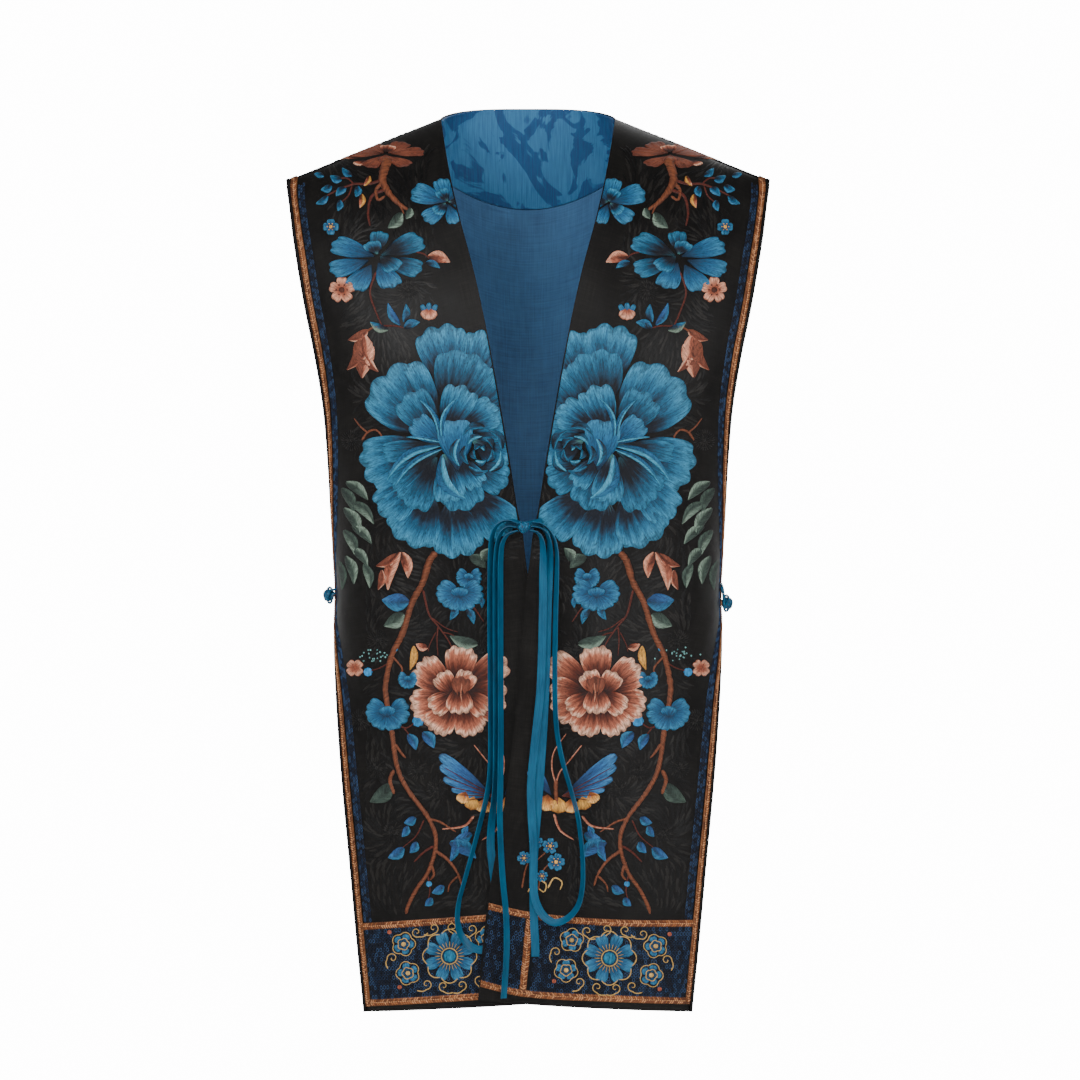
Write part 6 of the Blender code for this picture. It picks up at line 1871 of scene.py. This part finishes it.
def cord_tube(shape, route, radius, closed=False, sides=8):
    """Adds a round cord along points in metres, with ends that taper shut."""
    line = np.array(route, float)
    line = np.vstack([line, line[:1]]) if closed else line
    way = np.gradient(line, axis=0)
    if closed:
        way[0] = way[-1] = way[0] + way[-1]
    way /= np.linalg.norm(way, axis=1, keepdims=True)
    reach = np.full(len(line), radius)
    if not closed:
        reach[[0, -1]] = radius * 0.05
    side = np.cross(way, (0.31, 0.22, 0.93))
    side /= np.linalg.norm(side, axis=1, keepdims=True)
    other = np.cross(way, side)
    angle = np.radians(np.linspace(0, 360, sides + 1))
    ring = np.cos(angle)[:, None] * side[:, None, :] + np.sin(angle)[:, None] * other[:, None, :]
    points = line[:, None, :] + ring * reach[:, None, None]
    made = bmesh.ops.create_grid(shape, x_segments=sides, y_segments=len(line) - 1, size=1.0)["verts"]
    for vert, place in zip(made, points.reshape(-1, 3)):
        vert.co = place
    bmesh.ops.remove_doubles(shape, verts=made, dist=2e-6)


def turks_head(shape, centre, half_sizes, radius, turns, bights, tilt=0.0):
    """A cord that goes round a ball in turns and bights, over and under itself."""
    t = np.radians(np.linspace(0, 360, 32 * turns, endpoint=False))
    round_it, up = turns * t, math.radians(68) * np.sin(bights * t)
    lie = 1 - radius / min(half_sizes) * (1.0 - 0.35 * np.sin(2 * bights * t + 0.6))
    spots = np.stack([np.cos(up) * np.cos(round_it), np.cos(up) * np.sin(round_it), np.sin(up)], axis=-1)
    spots *= lie[:, None] * np.array(half_sizes)
    turn = np.array(Matrix.Rotation(tilt, 3, "X"))
    cord_tube(shape, spots @ turn.T + np.array(centre), radius, closed=True)
    core = bmesh.ops.create_uvsphere(shape, u_segments=16, v_segments=10, radius=1.0)["verts"]
    bmesh.ops.scale(shape, vec=Vector(half_sizes) * 0.88, verts=core)
    bmesh.ops.translate(shape, vec=centre, verts=core)


def middle_of(node):
    low, high = (Vector(corner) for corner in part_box(node))
    return (low + high) / 2, (high - low) / 2


def corded(name, shape, *nodes):
    bmesh.ops.recalc_face_normals(shape, faces=shape.faces)
    return placed(name, shape, [cord_silk], "cord", *nodes)


def twisted_silk():
    """Hard-twisted silk cord: slanting strands, with painted shade between them and a painted highlight on
    their tops.
    """
    values = {"Roughness": 0.42, "Specular IOR Level": 0.35, "Sheen Weight": 0.05}
    made, tree, shader = material("teal_silk_cord", values)
    place = add(tree, "ShaderNodeTexCoord").outputs["Object"]
    strands = grain(tree, stretched(tree, place, (1.0, 1.0, 0.35), 0.6), 1 / (0.9 * MM), 3.0)
    # the colour follows the strands' height: painted shade in the grooves, painted highlight on the crests
    colour = stops(tree, strands, (0.35, "#062c44"), (0.5, "#0b4f72"), (0.66, "#1a7aa4"))
    tree.links.new(colour, shader.inputs["Base Color"])
    bumped(tree, shader, strands, 0.6, 0.3)
    return made


cord_silk = twisted_silk()
knot = bmesh.new()
turks_head(knot, *middle_of("tie_knot"), 0.0019, 2, 3, 0.9)
corded("tie_knot_wraps", knot, "tie_knot")
print("knots: tie")
for side_name in ("right", "left"):
    knot = bmesh.new()
    middle, half = middle_of(f"toggle_knot_{side_name}")
    turks_head(knot, middle, half * Vector((1.14, 1.14, 1.24)), 0.0014, 3, 4)
    corded(f"knotted_ball_{side_name}", knot, f"toggle_knot_{side_name}")
    print("knotted ball:", side_name)
for part in ("stem", "loop"):
    for side_name in ("right", "left"):
        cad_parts[f"toggle_{part}_{side_name}"].material_slots[0].material = cord_silk

# %% [markdown]
# ## Studio
# The photograph is a cut-out on white with soft, nearly frontal light. A round studio of white
# paper gives that ground from every side: a floor whose rim curves up into a wall. A large soft
# light on the left and a weaker one on the right model the body, and a low one from the front opens
# the black silk.

# %% Floor, wall and lights
FLOOR_Z = -1.15
PAPER_PROFILE = [(0.0, 0.0), (6.3, 0.0), (6.8, 0.07), (7.15, 0.3), (7.3, 0.7), (7.35, 7.0)]
sweep = bmesh.new()
line = [sweep.verts.new((radius, 0.0, FLOOR_Z + height)) for radius, height in PAPER_PROFILE]
edges = [sweep.edges.new(pair) for pair in zip(line, line[1:])]
bmesh.ops.spin(
    sweep, geom=line + edges, axis=(0, 0, 1), cent=(0, 0, 0), steps=48, angle=2 * math.pi, use_merge=True
)
bmesh.ops.remove_doubles(sweep, verts=sweep.verts, dist=1e-4)
bmesh.ops.recalc_face_normals(sweep, faces=sweep.faces)
if sum(face.normal.z for face in sweep.faces if face.calc_center_median().z < FLOOR_Z + 0.01) < 0:
    bmesh.ops.reverse_faces(sweep, faces=sweep.faces)
sweep_mesh = bpy.data.meshes.new("backdrop")
sweep.to_mesh(sweep_mesh)
sweep.free()
sweep_mesh.shade_smooth()
GLOW = {"Roughness": 0.9, "Emission Color": (1.0, 1.0, 1.0, 1.0)}
paper, paper_tree, paper_shader = material("white_backdrop_paper", GLOW)
fibre = grain(paper_tree, add(paper_tree, "ShaderNodeTexCoord").outputs["Object"], 60.0, 4.0)
paper_white = stops(paper_tree, fibre, (0.3, "#f6f6f6"), (0.7, "#fdfdfd"))
paper_tree.links.new(paper_white, paper_shader.inputs["Base Color"])
# the paper shows white, as in a cut-out, but sends little light back to the silk
seen = add(paper_tree, "ShaderNodeLightPath").outputs["Is Camera Ray"]
glow = add(paper_tree, "ShaderNodeMath", {1: 14.0, 2: 0.10}, {0: seen}, operation="MULTIPLY_ADD").outputs[0]
paper_tree.links.new(glow, paper_shader.inputs["Emission Strength"])
sweep_mesh.materials.append(paper)
backdrop = bpy.data.objects.new("backdrop", sweep_mesh)
bpy.context.scene.collection.objects.link(backdrop)

Light = namedtuple("Light", "name place aim size watts")
LIGHTS = (
    Light("key", (-1.7, -2.6, 1.1), (0, 0, -0.35), 1.8, 46),
    Light("fill", (2.2, -2.4, 0.2), (0, 0, -0.4), 2.0, 30),
    Light("front", (0.0, -2.6, 1.5), (0, 0, -0.30), 1.2, 20),
    Light("back", (0.6, 1.9, 1.7), (0, 0.2, -0.3), 1.4, 10),
)
for lamp in LIGHTS:
    data = bpy.data.lights.new(lamp.name, "AREA")
    data.shape, data.size, data.energy = "DISK", lamp.size, lamp.watts
    thing = bpy.data.objects.new(lamp.name, data)
    thing.location = lamp.place
    thing.rotation_euler = (Vector(lamp.aim) - Vector(lamp.place)).to_track_quat("-Z", "Y").to_euler()
    bpy.context.scene.collection.objects.link(thing)
world = bpy.data.worlds.new("studio")
world.use_nodes = True
world.node_tree.nodes["Background"].inputs["Color"].default_value = (1.0, 1.0, 1.0, 1.0)
world.node_tree.nodes["Background"].inputs["Strength"].default_value = 0.25
bpy.context.scene.world = world
print("lights:", len(LIGHTS))
